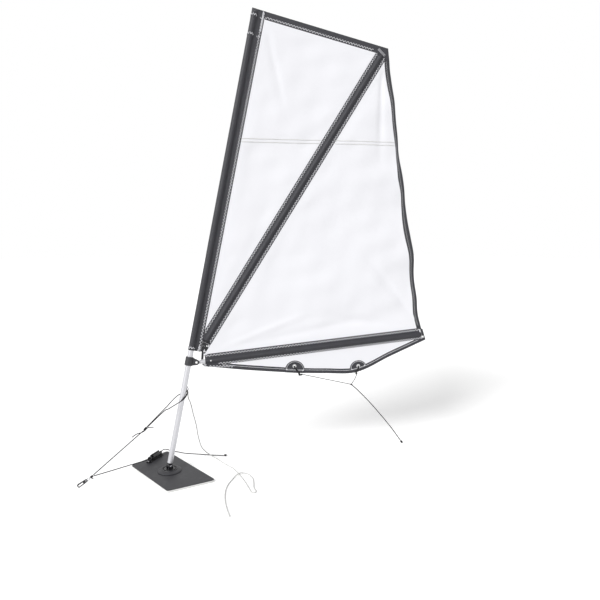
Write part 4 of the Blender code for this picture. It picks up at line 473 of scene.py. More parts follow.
def roughened(tree, shader, value, low, high):
    """Lets a value in 0 to 1 carry the roughness from low to high."""
    span = add(tree, "MapRange", {"Value": value, "To Min": low, "To Max": high})
    tree.links.new(span.outputs["Result"], shader.inputs["Roughness"])


def woven(name, colour, roughness, spacing, shade, depth):
    """Plain-woven cloth: two crossed sets of bands on the piece's own metres, and soft painted shade.

    Real sailcloth has a thread every 0.3 mm. Here they lie four times as wide, to show.
    """
    made, tree, shader = new_material(name, colour, roughness)
    metres = add(tree, "UVMap", uv_map="Metres").outputs["UV"]
    bands = []
    for way in "XY":
        inputs = {"Vector": metres, "Scale": band_scale(spacing)}
        bands.append(add(tree, "TexWave", inputs, bands_direction=way).outputs[1])
    weave = maths(tree, "MULTIPLY", *bands)
    # Broad, faint painted shade about a hand wide darkens the base colour, where cloth that was rolled and
    # packed would be shaded by its creases; the same noise varies the roughness and the bump
    shade_and_crease_cloud = noise(tree, metres, 0.09, 5.0, Distortion=0.6)
    tinted(tree, shader, colour, maths(tree, "MULTIPLY_ADD", shade_and_crease_cloud, weave, 0.25), shade)
    roughened(tree, shader, shade_and_crease_cloud, roughness - 0.08, roughness + 0.08)
    bumped(tree, shader, maths(tree, "MULTIPLY_ADD", shade_and_crease_cloud, 3.0, weave), depth)
    return made


def moulded(name, colour, roughness, grain, depth, scuff):
    """Moulded plastic or sheet: a fine grain, and scuffs that are paler and rougher."""
    made, tree, shader = new_material(name, colour, roughness)
    place = own_place(tree)
    wear = noise(tree, place, 0.03, 8.0, Roughness=0.7)
    worn = add(tree, "MapRange", {"Value": wear, "From Min": 0.52, "From Max": 0.72}).outputs[0]
    mixed(tree, shader, worn, colour, tuple(c + (1.0 - c) * scuff for c in colour))
    roughened(tree, shader, worn, roughness, min(1.0, roughness + 0.18))
    bumped(tree, shader, noise(tree, place, grain, 4.0), depth)
    return made


def drawn_metal(name, colour, roughness, metallic, stretch=(1.0, 1.0, 1.0)):
    """Drawn or turned metal: fine lines along the piece, with a little change of gloss."""
    made, tree, shader = new_material(name, colour, roughness, metallic)
    along = add(tree, "Mapping", {"Vector": own_place(tree), "Scale": stretch}).outputs[0]
    lines = noise(tree, along, 0.0012, 3.0)
    tinted(tree, shader, colour, lines, 0.10)
    roughened(tree, shader, lines, roughness - 0.06, roughness + 0.10)
    bumped(tree, shader, lines, 0.00002)
    return made


def braided(name, colour, plaits):
    """Braided cord: two crossing spirals on the cord's own turns give raised diamonds, with painted shade
    in the gaps between them.
    """
    made, tree, shader = new_material(name, colour, 0.72)
    turns = add(tree, "UVMap", uv_map="Metres").outputs["UV"]
    split = add(tree, "SeparateXYZ", {0: turns}).outputs
    waves = []
    for operation in ("ADD", "SUBTRACT"):
        slant = maths(tree, operation, split[0], split[1])
        waves.append(maths(tree, "SINE", maths(tree, "MULTIPLY", slant, math.pi * plaits)))
    height = maths(tree, "ABSOLUTE", maths(tree, "MULTIPLY", *waves))
    # Painted shade: the base colour darkens by up to 45 percent in the gaps between the raised diamonds
    gap_painted_shade = add(tree, "MapRange", {"Value": height, "From Min": 0.5, "From Max": 0.0}).outputs[0]
    tinted(tree, shader, colour, gap_painted_shade, 0.45)
    bumped(tree, shader, height, 0.0004)
    return made


def sewn_thread(name, colour):
    """Polyester thread: a slight shine and a fine twist."""
    made, tree, shader = new_material(name, colour, 0.5)
    twist = noise(tree, own_place(tree), 0.0015, 2.0)
    tinted(tree, shader, colour, twist, 0.35)
    bumped(tree, shader, twist, 0.0001)
    return made


def foam_look(name, colour):
    """Closed-cell foam: a matt skin with small open cells where it was cut."""
    made, tree, shader = new_material(name, colour, 0.9)
    cells = add(tree, "TexVoronoi", {"Vector": own_place(tree), "Scale": 1 / 0.0011}).outputs[0]
    tinted(tree, shader, colour, cells, 0.10)
    bumped(tree, shader, cells, 0.00025)
    return made


LOOKS = {}


def make_looks(scene):
    """Every finish of the object, once."""
    if LOOKS:
        return
    cloth, rigging, parts = scene.canoe_sail_cloth, scene.canoe_sail_rigging, scene.canoe_sail_fittings
    weave, webbing = cloth.weave, cloth.weave * 1.5
    grey = tuple(c * 0.40 for c in cloth.thread)
    LOOKS.update(
        # The fourth number of each woven finish is how far its painted shade darkens it
        white_cloth=woven("woven_white_sailcloth", tuple(cloth.white), 0.62, weave, 0.035, 0.00012),
        black_cloth=woven("woven_charcoal_sailcloth", tuple(cloth.black), 0.50, weave, 0.28, 0.00025),
        patch=woven("woven_black_webbing", tuple(cloth.patch), 0.7, webbing, 0.35, 0.0004),
        thread=sewn_thread("polyester_thread", tuple(cloth.thread)),
        # Nylon webbing: a coarse rib across, and a soft shine
        grey_webbing=woven("woven_grey_webbing", linear("#9a9aa0"), 0.6, webbing, 0.3, 0.0004),
        white_thread=sewn_thread("white_polyester_thread", linear("#f6f6f2")),
        grey_thread=sewn_thread("grey_polyester_thread", grey),
        black_cord=braided("braided_black_polyester", tuple(rigging.black), rigging.plait),
        white_cord=braided("braided_white_polyester", tuple(rigging.white), rigging.plait),
        # Drawn tube, anodised: lines run along it, and its shine is soft
        aluminium=drawn_metal(
            "anodised_aluminium", tuple(parts.aluminium), 0.34, 0.72, (1.0, 1.0, 0.03)
        ),
        steel=drawn_metal("polished_stainless_steel", tuple(parts.steel), 0.22, 1.0),
        eyelet=drawn_metal("nickel_plated_brass", tuple(parts.nickel), 0.26, 0.9),
        black_plastic=moulded("grained_black_nylon", tuple(parts.matte), 0.48, 0.0009, 0.00006, 0.03),
        gloss_black=moulded("polished_black_nylon", tuple(parts.gloss), 0.18, 0.002, 0.00001, 0.02),
        plate=moulded("black_polyethylene_sheet", tuple(parts.plate), 0.5, 0.0016, 0.00008, 0.05),
        foam=foam_look("closed_cell_foam", tuple(parts.foam)),
        white_plastic=moulded("white_nylon", tuple(parts.white), 0.32, 0.001, 0.00002, 0.0),
        pale_plastic=moulded("grey_acetal", tuple(parts.pale), 0.34, 0.001, 0.00003, 0.0),
    )


def placed(points, matrix):
    """Points of a frame in the row frame: turned, then moved."""
    return np.asarray(points, float) @ matrix[:3, :3].T + matrix[:3, 3]


def off_plane(flat, off, matrix):
    """Points (along, up) of a plane, raised off it, in the row frame."""
    off = np.broadcast_to(off, flat.shape[:-1])
    return placed(np.stack([flat[..., 0], off, flat[..., 1]], axis=-1), matrix)


def linked(name, data):
    """A new object in the scene."""
    made = bpy.data.objects.new(name, data)
    bpy.context.scene.collection.objects.link(made)
    return made


def own_object(name, mesh, look):
    """Links a mesh as an object with its finish."""
    mesh.materials.append(LOOKS[look])
    return linked(name, mesh)


def unit(vector):
    """The vector at length 1."""
    return np.asarray(vector, float) / np.linalg.norm(vector)


def square_to(run):
    """The direction of the plane that lies square to another, on its right."""
    return np.array([run[1], -run[0]])


def settle(bm, mesh):
    """Turns faces outwards, writes them to the mesh and shades its round parts smooth."""
    bmesh.ops.recalc_face_normals(bm, faces=bm.faces)
    bm.to_mesh(mesh)
    bm.free()
    mesh.shade_smooth()
    mesh.set_sharp_from_angle(angle=math.radians(SHARP_ANGLE))


def surface(name, grids, look, around=True, caps=False, metres=None):
    """A mesh of one or more grids of points, each grid[row, column].

    With around, a row's last point joins its first. With caps, the first and last
    rows are faces. metres holds each grid's pattern coordinates, one column wider
    where it goes around; without it they are the lengths along the grid's lines.
    """
    points, faces, corners = [], [], []
    start = 0
    for number, grid in enumerate(grids):
        rows, columns = grid.shape[:2]
        index = start + np.arange(rows * columns).reshape(rows, columns)
        ring = np.hstack([index, index[:, :1]]) if around else index
        quads = np.stack([ring[:-1, :-1], ring[:-1, 1:], ring[1:, 1:], ring[1:, :-1]], axis=-1)
        plan = metres[number] if metres is not None else lengths_along(grid, around)
        spots = np.stack([plan[:-1, :-1], plan[:-1, 1:], plan[1:, 1:], plan[1:, :-1]], axis=-2)
        points.append(grid.reshape(-1, 3))
        faces += quads.reshape(-1, 4).tolist()
        corners.append(spots.reshape(-1, 2))
        if caps:
            faces += [index[0, ::-1].tolist(), index[-1].tolist()]
            corners += [plan[0, :columns][::-1], plan[-1, :columns]]
        start += rows * columns
    mesh = bpy.data.meshes.new(name)
    mesh.from_pydata(np.vstack(points).tolist(), [], faces)
    layer = mesh.uv_layers.new(name="Metres")
    layer.data.foreach_set("uv", np.vstack(corners).astype(np.float32).ravel())
    bm = bmesh.new()
    bm.from_mesh(mesh)
    bmesh.ops.remove_doubles(bm, verts=bm.verts, dist=MERGE)
    bmesh.ops.dissolve_degenerate(bm, edges=bm.edges, dist=MERGE)
    settle(bm, mesh)
    return own_object(name, mesh, look)


def lengths_along(grid, around):
    """Pattern coordinates of a grid: the mean length along its rows and its columns."""
    wide = np.concatenate([grid, grid[:, :1]], axis=1) if around else grid
    across = np.linalg.norm(np.diff(wide, axis=1), axis=2).mean(axis=0)
    along = np.linalg.norm(np.diff(grid, axis=0), axis=2).mean(axis=1)
    u = np.concatenate([[0.0], np.cumsum(across)])
    v = np.concatenate([[0.0], np.cumsum(along)])
    return np.stack(np.broadcast_arrays(u[None, :], v[:, None]), axis=-1)


def ramp(value, low, high):
    """0 below low, 1 above high, and smooth between."""
    t = np.clip((value - low) / (high - low), 0.0, 1.0)
    return t * t * (3.0 - 2.0 * t)


def ripple(a, b, size, seed):
    """Soft unevenness of about -1 to 1: the mean of six sine waves near a size, each its own way."""
    chance = np.random.default_rng(seed)
    turn = chance.uniform(0.0, math.tau, 6)
    pace = math.tau / size * chance.uniform(0.6, 1.6, 6)
    phase = chance.uniform(0.0, math.tau, 6)
    a, b = np.broadcast_arrays(a, b)
    waves = a[..., None] * np.cos(turn) * pace + b[..., None] * np.sin(turn) * pace + phase
    return np.sin(waves).mean(axis=-1) * 2.0


def smooth_table(share, table):
    """Reads a table between its rows, on a cubic curve through every row."""
    x, y = np.array(table).T
    slope = np.gradient(y, x)
    k = np.clip(np.searchsorted(x, share, side="right") - 1, 0, len(x) - 2)
    width = x[k + 1] - x[k]
    t = (share - x[k]) / width
    fore = y[k] * (1 + 2 * t) * (1 - t) ** 2 + width * slope[k] * t * (1 - t) ** 2
    return fore + y[k + 1] * t * t * (3 - 2 * t) + width * slope[k + 1] * t * t * (t - 1)


def smooth_path(route, spacing):
    """Even points on a Catmull-Rom curve through the points of a route.

    Between b and c, with a before and d after, a point is half of
    2b + (c - a) t + (2a - 5b + 4c - d) t^2 + (3b - a - 3c + d) t^3.
    """
    knots = np.asarray(route, float)
    knots = np.vstack([2 * knots[0] - knots[1], knots, 2 * knots[-1] - knots[-2]])
    t = (np.arange(ROUTE_STEPS) / ROUTE_STEPS)[None, :, None]
    a, b, c, d = (knots[k : len(knots) - 3 + k, None, :] for k in range(4))
    fine = b * 2 + (c - a) * t + (a * 2 - b * 5 + c * 4 - d) * t**2
    fine = 0.5 * (fine + (b * 3 - a - c * 3 + d) * t**3)
    return even_points(np.vstack([fine.reshape(-1, 3), knots[-2]]), spacing)


def even_points(points, spacing):
    """The same line with a point every spacing."""
    run = path_lengths(points)
    wanted = np.linspace(0.0, run[-1], max(4, int(round(run[-1] / spacing)) + 1))
    return at_lengths(points, run, wanted)


def path_lengths(points):
    """Length along a path at each of its points."""
    steps = np.linalg.norm(np.diff(points, axis=0), axis=1)
    return np.concatenate([[0.0], np.cumsum(steps)])


def at_lengths(points, run, wanted):
    """Points of a path at the wanted lengths along it."""
    return np.stack([np.interp(wanted, run, axis) for axis in points.T], axis=-1)


def carried_directions(path):
    """A path's direction, and two directions square to it that are carried along untwisted."""
    tangents = np.gradient(path, axis=0)
    tangents /= np.linalg.norm(tangents, axis=1)[:, None]
    side = np.eye(3)[np.argmin(np.abs(tangents[0]))]
    sides = np.empty_like(tangents)
    for place, tangent in enumerate(tangents):
        side = side - tangent * (side @ tangent)
        side = side / np.linalg.norm(side)
        sides[place] = side
    return sides, np.cross(tangents, sides)


def tube_grid(path, radius, sides):
    """A cord with round ends, and its pattern coordinates in turns.

    point(i, j) = path(i) + r(i) (side(i) cos a(j) + up(i) sin a(j)), where r falls to
    zero over the last radius at each end as a quarter circle does.
    """
    run = path_lengths(path)
    quarter = radius * (1.0 - np.cos(np.linspace(0.0, math.pi / 2, 5)))
    inner = run[(run > radius * 1.3) & (run < run[-1] - radius * 1.3)]
    stations = np.concatenate([quarter, inner, run[-1] - quarter[::-1]])
    spine = at_lengths(path, run, stations)
    sides_way, up_way = carried_directions(at_lengths(path, run, np.maximum.accumulate(stations)))
    inset = np.clip(1.0 - np.minimum(stations, run[-1] - stations) / radius, 0.0, 1.0)
    radii = (radius * np.sqrt(1.0 - inset**2))[:, None, None]
    turn = np.arange(sides) / sides * math.tau
    spokes = sides_way[:, None] * np.cos(turn)[:, None] + up_way[:, None] * np.sin(turn)[:, None]
    u = np.linspace(0.0, 1.0, sides + 1)[None, :]
    v = (stations / (math.tau * radius))[:, None]
    return spine[:, None] + spokes * radii, np.stack(np.broadcast_arrays(u, v), axis=-1)


def tubes(name, paths, radii, look, sides=CORD_SIDES):
    """One object of one or more round cords."""
    made = [tube_grid(path, radius, sides) for path, radius in zip(paths, radii)]
    return surface(name, [m[0] for m in made], look, metres=[m[1] for m in made])


def coil_path(start, direction, length, coil, cord, turns):
    """A cord wound round an axis: its turns lie side by side, and both ends dive to the axis."""
    direction = unit(direction)
    side = unit(np.cross(direction, np.eye(3)[np.argmin(np.abs(direction))]))
    up = np.cross(direction, side)
    share = np.linspace(0.0, 1.0, turns * 20)
    reach = coil * (0.35 + 0.65 * np.sqrt(np.clip(np.sin(math.pi * share) * 2.2, 0.0, 1.0)))
    turn = math.tau * turns * share
    along = cord / 2 + (length - cord) * share
    ring = side * np.cos(turn)[:, None] + up * np.sin(turn)[:, None]
    return np.asarray(start) + direction * along[:, None] + ring * reach[:, None]


def wound_knot(name, start, direction, length, radius, cord, body, node, look="black_cord", tail=None):
    """A stopper knot: a core, the turns wound close on it, and a short tail where one shows."""
    turns = max(3, int(round(length / cord)))
    direction, start = unit(direction), np.asarray(start, float)
    wrap = coil_path(start, direction, length, radius - cord / 2, cord, turns)
    core = np.linspace(start, start + direction * length, 8)
    paths, radii = [wrap, core], [cord / 2, min(cord, radius) / 2]
    if tail is not None:
        middle = start + direction * length / 2
        bend = middle + np.asarray(tail) * 0.6 + direction * length * 0.3
        paths.append(smooth_path([middle, bend, middle + np.asarray(tail)], cord))
        radii.append(cord / 2 * 0.9)
    return ride_as(tubes(name, paths, radii, look), body, look, node)


def ride_as(piece, body, slot, *nodes):
    """The piece rides on its body, where it has one, and stands for its nodes, which it hides.

    Its slot is not used.
    """
    if body:
        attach(piece, body)
    if nodes:
        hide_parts(*nodes)
    return piece


def foot_low(x):
    """Height of the foot's lower edge under the boom's axis, from the table of shares."""
    table = np.array(FOOT_SHARES)
    share = (np.asarray(x) - FOOT_START) / (FOOT_END - FOOT_START)
    return -FOOT_DEPTH * np.interp(share, table[:, 0], table[:, 1])


def knot_width(radius, turns, share):
    """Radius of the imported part's ribbed knot at a share of its length."""
    barrel = 0.62 + 0.38 * math.sin(math.pi * share)
    return radius * barrel * (1.0 - 0.14 * (0.5 + 0.5 * math.cos(math.tau * turns * share)))


def knot_centre(x):
    """The middle of a knot that hangs just under the foot."""
    return np.array([x, 0.0, float(foot_low(x)) - KNOT_DROP])


def moon_centre(name):
    """Centre of a half-moon patch, and the slant of its lower edge."""
    x, radius = MOONS[name][:2]
    left, right = float(foot_low(x - radius)), float(foot_low(x + radius))
    return np.array([x, (left + right) / 2 + PATCH_RISE]), math.atan2(right - left, radius * 2)


def lashing_route(name):
    """The loop of cord through an eyelet and round the foot, down to the knot below it."""
    x, _, rise, shift, length = MOONS[name]
    face = BAND_THICK / 2 + CLEARANCE + PATCH_THICK
    z = moon_centre(name)[0][1] + rise
    middle = knot_centre(x + shift)
    near = x + shift - length / 2 + SMALL_KNOT_RADIUS if shift > 0 else x + shift
    along = (near - middle[0] + length / 2) / length
    outer = face + CLEARANCE + EYELET_LIP
    reach = outer + LASHING_CORD / 2 + CLEARANCE * 3
    rim = math.sqrt(reach**2 - outer**2)
    centre = z - EYELET_HOLE + LASHING_CORD / 2 + CLEARANCE * 5 - rim
    edge = float(foot_low(near)) - CLEARANCE - PATCH_THICK
    start = middle[2] + knot_width(SMALL_KNOT_RADIUS, 3, along)
    high = edge + KNOT_DROP
    between = near + (x - near) * (high - edge) / (centre - edge)
    corner = face + LASHING_CORD / 2 + CLEARANCE * 2
    down = [(near, SMALL_KNOT_RADIUS * 0.52, start), (near, corner, edge), (between, reach, high)]
    turn = np.radians(np.linspace(180.0, 0.0, 9))
    over = [(x, reach * math.cos(a), centre + reach * math.sin(a)) for a in turn]
    return [(px, -py, pz) for px, py, pz in down] + over + down[::-1]


def cord_piece(name, route, diameter, look="black_cord", body=None):
    """A limp cord along its route.

    It replaces the node of its name, where there is one.
    """
    path = smooth_path(route, diameter)
    piece = tubes(name + "_braid", [path], [diameter / 2], look)
    if name in frame["nodes"]:
        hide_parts(name)
    if body:
        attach(piece, body)
    return piece


def make_stay_cords():
    """The forestay, its adjuster with the tail, the loop round the mast and its soft sleeve."""
    foot, bow = np.array(ADJUSTER_FOOT), np.array(BOW_KNOT_AT)
    run, lead = unit(ADJUSTER_RUN), unit(foot - bow)
    drop = math.radians(BOW_DROP)
    down = np.array([-math.cos(drop), 0.0, -math.sin(drop)])
    adjuster = wound_knot(
        "adjuster_hitch", foot, run, ADJUSTER_LENGTH, ADJUSTER_RADIUS, STAY_CORD, "mast", "adjuster_knot"
    )
    bow_knot = wound_knot(
        "bow_hitch", bow, down, KNOT_LENGTH, KNOT_RADIUS, STAY_CORD, "root", "bow_knot",
        tail=(0.004, -0.009, -0.006),
    )
    start = bow - lead * CLEARANCE * 2 + np.array([0, 0, KNOT_RADIUS / 2])
    end = foot - run * CLEARANCE
    route = [end, (start + end) / 2, start]
    stay = cord_piece("forestay", route, STAY_CORD)
    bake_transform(stay)

    top = foot + run * (ADJUSTER_LENGTH + CLEARANCE)
    beside = np.array([0, STAY_CORD / 2 + CLEARANCE, 0])
    route = [top - beside, *placed(LOOP_ROUTE, MAST), top + beside]
    path = smooth_path(route, STAY_CORD)
    ends = [np.argmin(np.linalg.norm(path - route[k + 1], axis=1)) for k in SLEEVE_ENDS]
    radius = STAY_CORD / 2 + STAY_SLEEVE_WALL
    cover = tubes("stay_cover", [path[ends[0] - 1 : ends[1]]], [radius], "patch", 16)
    ride_as(cover, "mast", "black_cloth", "stay_sleeve")
    cord_piece("stay_loop", route, STAY_CORD, body="mast")
    cord_piece("adjuster_tail", TAIL_ROUTE, TAIL_CORD, body="mast")


def make_deck_cords():
    """The control line through the cleat, and the slack white cord from the pad eye."""
    last = np.array(CONTROL_ROUTE[-1])
    run = unit(last - np.array(CONTROL_ROUTE[-2]))
    at = last + run * CLEARANCE + np.array([0, 0, KNOT_RADIUS - STAY_CORD / 2])
    knot = wound_knot(
        "control_stopper", at, run, KNOT_LENGTH, KNOT_RADIUS, STAY_CORD, "root", "control_knot"
    )
    cord_piece("control_line", CONTROL_ROUTE, STAY_CORD, body="root")

    low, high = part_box("white_knot")
    centre = np.array((low + high) / 2)
    fall = unit(np.array(WHITE_ROUTE[0]) - centre)
    hung = centre - fall * SMALL_KNOT_LENGTH / 2
    knot = wound_knot(
        "white_hitch", hung, fall, SMALL_KNOT_LENGTH, KNOT_RADIUS, WHITE_STRAND, "mast", "white_knot",
        look="white_cord", tail=(-0.002, -0.010, -0.004),
    )
    start = tuple(hung + fall * (SMALL_KNOT_LENGTH + CLEARANCE))
    route = [start, *WHITE_ROUTE]
    cord = cord_piece("white_cord", route, WHITE_CORD, look="white_cord")
    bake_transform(cord)


def make_foot_cords():
    """Lashings, bridle and sheet under the foot."""
    for name, (x, _, _, shift, length) in MOONS.items():
        begin = placed(knot_centre(x + shift) - np.array([length / 2, 0, 0]), BOOM)
        knot = wound_knot(
            name + "_hitch", begin, BOOM[:3, 0], length, SMALL_KNOT_RADIUS, LASHING_CORD, "boom",
            name + "_knot",
        )
        for strand, number in (("", 0), ("_left", -1), ("_right", 1)):
            # Three strands lie side by side, and the outer two lie higher in the round eyelet
            route = np.array(lashing_route(name))
            route[:, 0] += number * LASHING_CORD * 1.04
            route[3:-3, 2] += abs(number) * LASHING_CORD * 0.32
            cord_piece(
                name + "_lashing" + strand, placed(route, BOOM), LASHING_CORD,
                body="boom",
            )

    end = SMALL_KNOT_LENGTH / 2 + CLEARANCE
    joint = np.array(BRIDLE_JOINT)
    x, _, _, shift, length = MOONS["fore"]
    fore = knot_centre(x + shift) + np.array([length / 2 + CLEARANCE, 0, 0])
    run = unit(joint - fore)
    fore = fore + run * CLEARANCE
    fore_end = joint - run * end
    knot = wound_knot(
        "bridle_hitch", placed(joint - run * (end - CLEARANCE), BOOM), BOOM[:3, :3] @ run,
        SMALL_KNOT_LENGTH, SMALL_KNOT_RADIUS, BRIDLE_CORD, "boom", "bridle_knot",
        tail=(0.007, -0.006, -0.008),
    )
    route = placed([fore, (fore + fore_end) / 2, fore_end], BOOM)
    cord_piece("bridle_fore_leg", route, BRIDLE_CORD, body="boom")
    x, _, _, shift, _ = MOONS["aft"]
    aft = knot_centre(x + shift) - np.array([0, 0, SMALL_KNOT_RADIUS + CLEARANCE * 2])
    start = joint + unit(aft - joint) * (SMALL_KNOT_RADIUS + CLEARANCE * 3)
    middle = (start + aft) / 2 + np.array([BRIDLE_CORD, 0, 0])
    route = placed([aft, middle, start], BOOM)
    cord_piece("bridle_aft_leg", route, BRIDLE_CORD, body="boom")

    last = placed(SHEET_ROUTE[-1], BOOM)
    lead = unit(last - placed(SHEET_ROUTE[-2], BOOM))
    knot = wound_knot(
        "sheet_stopper", last + lead * CLEARANCE, lead, KNOT_LENGTH, KNOT_RADIUS, SHEET_CORD, "boom",
        "sheet_knot",
    )
    cord_piece("sheet", placed(SHEET_ROUTE, BOOM), SHEET_CORD, body="boom")


def boom_to_sail(along, up):
    """Points of the boom plane in the sail plane."""
    turn = math.radians(BOOM_RISE)
    across = GOOSENECK_REACH + along * math.cos(turn) - up * math.sin(turn)
    rise = GOOSENECK_HEIGHT + along * math.sin(turn) + up * math.cos(turn)
    return np.stack(np.broadcast_arrays(across, rise), axis=-1)


def luff_tail(height):
    """How far the luff sleeve reaches aft of the mast's axis at a height."""
    share = (height - LUFF_FOOT) / (HEAD_TOP - LUFF_FOOT)
    return LUFF_TAIL + (LUFF_TAIL_HEAD - LUFF_TAIL) * share


def leech(share, inset=0.0):
    """Points of the leech: a straight line, hollowed by the table and set in by a width.

    The table follows the loose edge as the photograph shows it between its holds.
    """
    share = np.asarray(share, float)
    peak = np.array([PEAK_REACH, HEAD_TOP])
    along = boom_to_sail(LEECH_FOOT, BOOM_SLEEVE_UP) - peak
    inward = np.array([along[1], -along[0]]) / np.linalg.norm(along)
    hollow = LEECH_HOLLOW * smooth_table(share, LEECH_HOLLOW_SHARES) + inset
    return peak + along * share[..., None] + inward * hollow[..., None]


def meet(line_a, line_b):
    """Where two lines of a plane cross, each a point and a direction."""
    (start_a, run_a), (start_b, run_b) = line_a, line_b
    across = run_a[0] * run_b[1] - run_a[1] * run_b[0]
    apart = start_b - start_a
    return start_a + run_a * ((apart[0] * run_b[1] - apart[1] * run_b[0]) / across)


def shifted(line, distance):
    """The line moved to the right of its own direction."""
    start, run = line
    return start + square_to(run) / np.linalg.norm(run) * distance, run


def level(height):
    """A level line of the sail plane."""
    return np.array([0.0, height]), np.array([1.0, 0.0])


def sail_lines():
    """The straight edges that the panels share, each a point and a direction."""
    luff_low = np.array([luff_tail(LUFF_FOOT), LUFF_FOOT])
    luff_high = np.array([luff_tail(HEAD_TOP), HEAD_TOP])
    lean = math.radians(SPRIT_LEAN)
    sprit = (np.array(SPRIT_HEEL), np.array([math.cos(lean), math.sin(lean)]))
    boom_low = boom_to_sail(0.0, BOOM_SLEEVE_UP)
    return {
        "luff": (luff_low, luff_high - luff_low),
        "sprit": sprit,
        "sprit_left": shifted(sprit, -SPRIT_SLEEVE_HALF),
        "sprit_right": shifted(sprit, SPRIT_SLEEVE_HALF),
        "boom": (boom_low, boom_to_sail(LEECH_FOOT, BOOM_SLEEVE_UP) - boom_low),
    }


LINES = sail_lines()


def distance_right(points, line):
    """How far points lie to the right of a line of the plane."""
    start, run = line
    return (points - start) @ square_to(run / np.linalg.norm(run))


def fold(points, corner, toward, width, height, reach):
    """A shallow crease that runs out of a corner: a bell across its line, gone at its reach."""
    run = unit(np.asarray(toward) - corner)
    along = (points - corner) @ run
    across = (points - corner) @ square_to(run)
    spread = width * (0.35 + 0.65 * np.clip(along / reach, 0.0, 1.5))
    bell = np.exp(-((across / spread) ** 2))
    return height * bell * ramp(along, 0.0, reach * 0.15) * (1.0 - ramp(along, reach * 0.55, reach))


def belly(points):
    """How far the cloth above the boom stands off its plane.

    It is flat where it is sewn to the straight sleeves. The leech waves along its
    length and the wave dies out inwards, creases run out of the corners, and the
    open cloth is a little uneven.
    """
    peak, clew = leech(0.0), leech(1.0)
    corners = {"clew": clew, "tack": boom_to_sail(TACK_REACH, BOOM_SLEEVE_UP)}
    x, height = points[..., 0], points[..., 1]
    off_sprit = np.abs(distance_right(points, LINES["sprit"])) - SPRIT_SLEEVE_HALF
    held = ramp(-distance_right(points, LINES["boom"]), 0.0, BOOM_HOLD)
    held = held * ramp(off_sprit, 0.0, SEAM_HOLD)
    held = held * ramp(distance_right(points, LINES["luff"]), 0.0, SEAM_HOLD)
    held = held * ramp(HEAD_LOW - height, 0.0, SEAM_HOLD)

    length = np.linalg.norm(clew - peak)
    along = (points - peak) @ ((clew - peak) / length) / length
    inside = np.abs(distance_right(points, (peak, clew - peak)))
    wave = sum(size * np.sin(math.tau * (count * along + start)) for size, count, start in LEECH_WAVES)
    free = ramp(along, 0.0, 0.12) * (1.0 - ramp(along, 0.93, 1.0)) * np.exp(-inside / FLUTTER_DEPTH)
    off = bpy.context.scene.canoe_sail_cloth.flutter * wave * free * ramp(off_sprit, 0.0, FLUTTER_HOLD)

    loose = sum(ripple(x, height, size, seed) * high for size, seed, high in UNEVEN)
    creases = sum(fold(points, corners.get(corner, corner), *crease) for corner, *crease in CREASES)
    return off + (loose + creases) * held


def in_plane(points, off, matrix):
    """Points of the sail plane in the row frame, with the cloth's own shape and a height off it."""
    shape = belly(points) if matrix is SAIL else 0.0
    return off_plane(points, shape + off, matrix)


def thickened(piece, thickness, offset):
    """Gives a piece's cloth its thickness, centred on it or inside it."""
    solid = piece.modifiers.new("cloth", "SOLIDIFY")
    solid.thickness = thickness
    solid.offset = offset


def cloth_panel(name, flat, matrix, body, node, size=None, area=None):
    """A single thickness of white cloth over a grid of plane points; its flat size and area are not used.
    """
    piece = surface(name, [in_plane(flat, 0.0, matrix)], "white_cloth", around=False, metres=[flat])
    thickened(piece, CLOTH_THICK, 0.0)
    ride_as(piece, body, "white_cloth", node)
    if body is None:
        follow_boom(piece)
    if size is None:
        points = flat.reshape(-1, 2)
        size, area = points.max(axis=0) - points.min(axis=0), plane_area(flat)
    size = (float(size[0]), float(size[1]))


def between(first, second, count):
    """A grid whose rows run evenly from each point of the first line to the second's."""
    share = np.linspace(0.0, 1.0, count)[None, :, None]
    return first[:, None] * (1.0 - share) + second[:, None] * share


def segment(start, end, count):
    """Even points from one point to another."""
    return np.linspace(np.asarray(start, float), np.asarray(end, float), count)


def pillow(flat, thick, matrix, edge=8.0):
    """A closed pad over a grid of plane points, as thick as a doubled cloth.

    Its half thickness is thick / 2 times the root of (1 - |2u-1|^edge)(1 - |2v-1|^edge),
    so that both faces meet on the border. Returns the grid and its pattern coordinates.
    """
    rows, columns = flat.shape[:2]
    v = np.abs(np.linspace(-1.0, 1.0, rows))[:, None] ** edge
    u = np.abs(np.linspace(-1.0, 1.0, columns))[None, :] ** edge
    half = thick / 2 * np.sqrt(np.clip((1.0 - u) * (1.0 - v), 0.0, 1.0))
    order = np.concatenate([np.arange(columns), np.arange(columns - 2, 0, -1)])
    sign = np.concatenate([-np.ones(columns), np.ones(columns - 2)])
    loop = flat[:, order]
    plan = np.concatenate([loop, loop[:, :1]], axis=1)
    return in_plane(loop, half[:, order] * sign, matrix), plan


def dense_ends(count):
    """Shares from 0 to 1 that lie closer together at both ends."""
    return 0.5 - 0.5 * np.cos(np.linspace(0.0, math.pi, count))


def pad_piece(name, pads, look, body, *nodes, slot="black_cloth"):
    """One object of pads, each a grid and its pattern coordinates."""
    piece = surface(name, [grid for grid, _ in pads], look, metres=[plan for _, plan in pads])
    return ride_as(piece, body, slot, *nodes)


def edge_band(outer, inner, thick, matrix, count):
    """A band folded over an edge, between the edge itself and its own inner border."""
    share = dense_ends(count)[None, :, None]
    return pillow(inner[:, None] * (1.0 - share) + outer[:, None] * share, thick, matrix)


def sleeve_height(across, bulge, end):
    """How far a sleeve's side stands off the cloth, beyond 60 degrees from its crown.

    A cubic that starts on the circle's slope and ends level at the seam's thickness.
    """
    turn = math.radians(SLEEVE_LEAVE)
    first, high = bulge * math.sin(turn), bulge * math.cos(turn)
    ease = np.clip((across - first) / (end - first), 0.0, 1.0)
    slope = -math.tan(turn) * (end - first)
    drop = SEAM_THICK / 2 - high
    rise = high + slope * ease * (1 - ease) ** 2 + drop * ease**2 * (3 - 2 * ease)
    return np.maximum(rise, SEAM_THICK / 2)


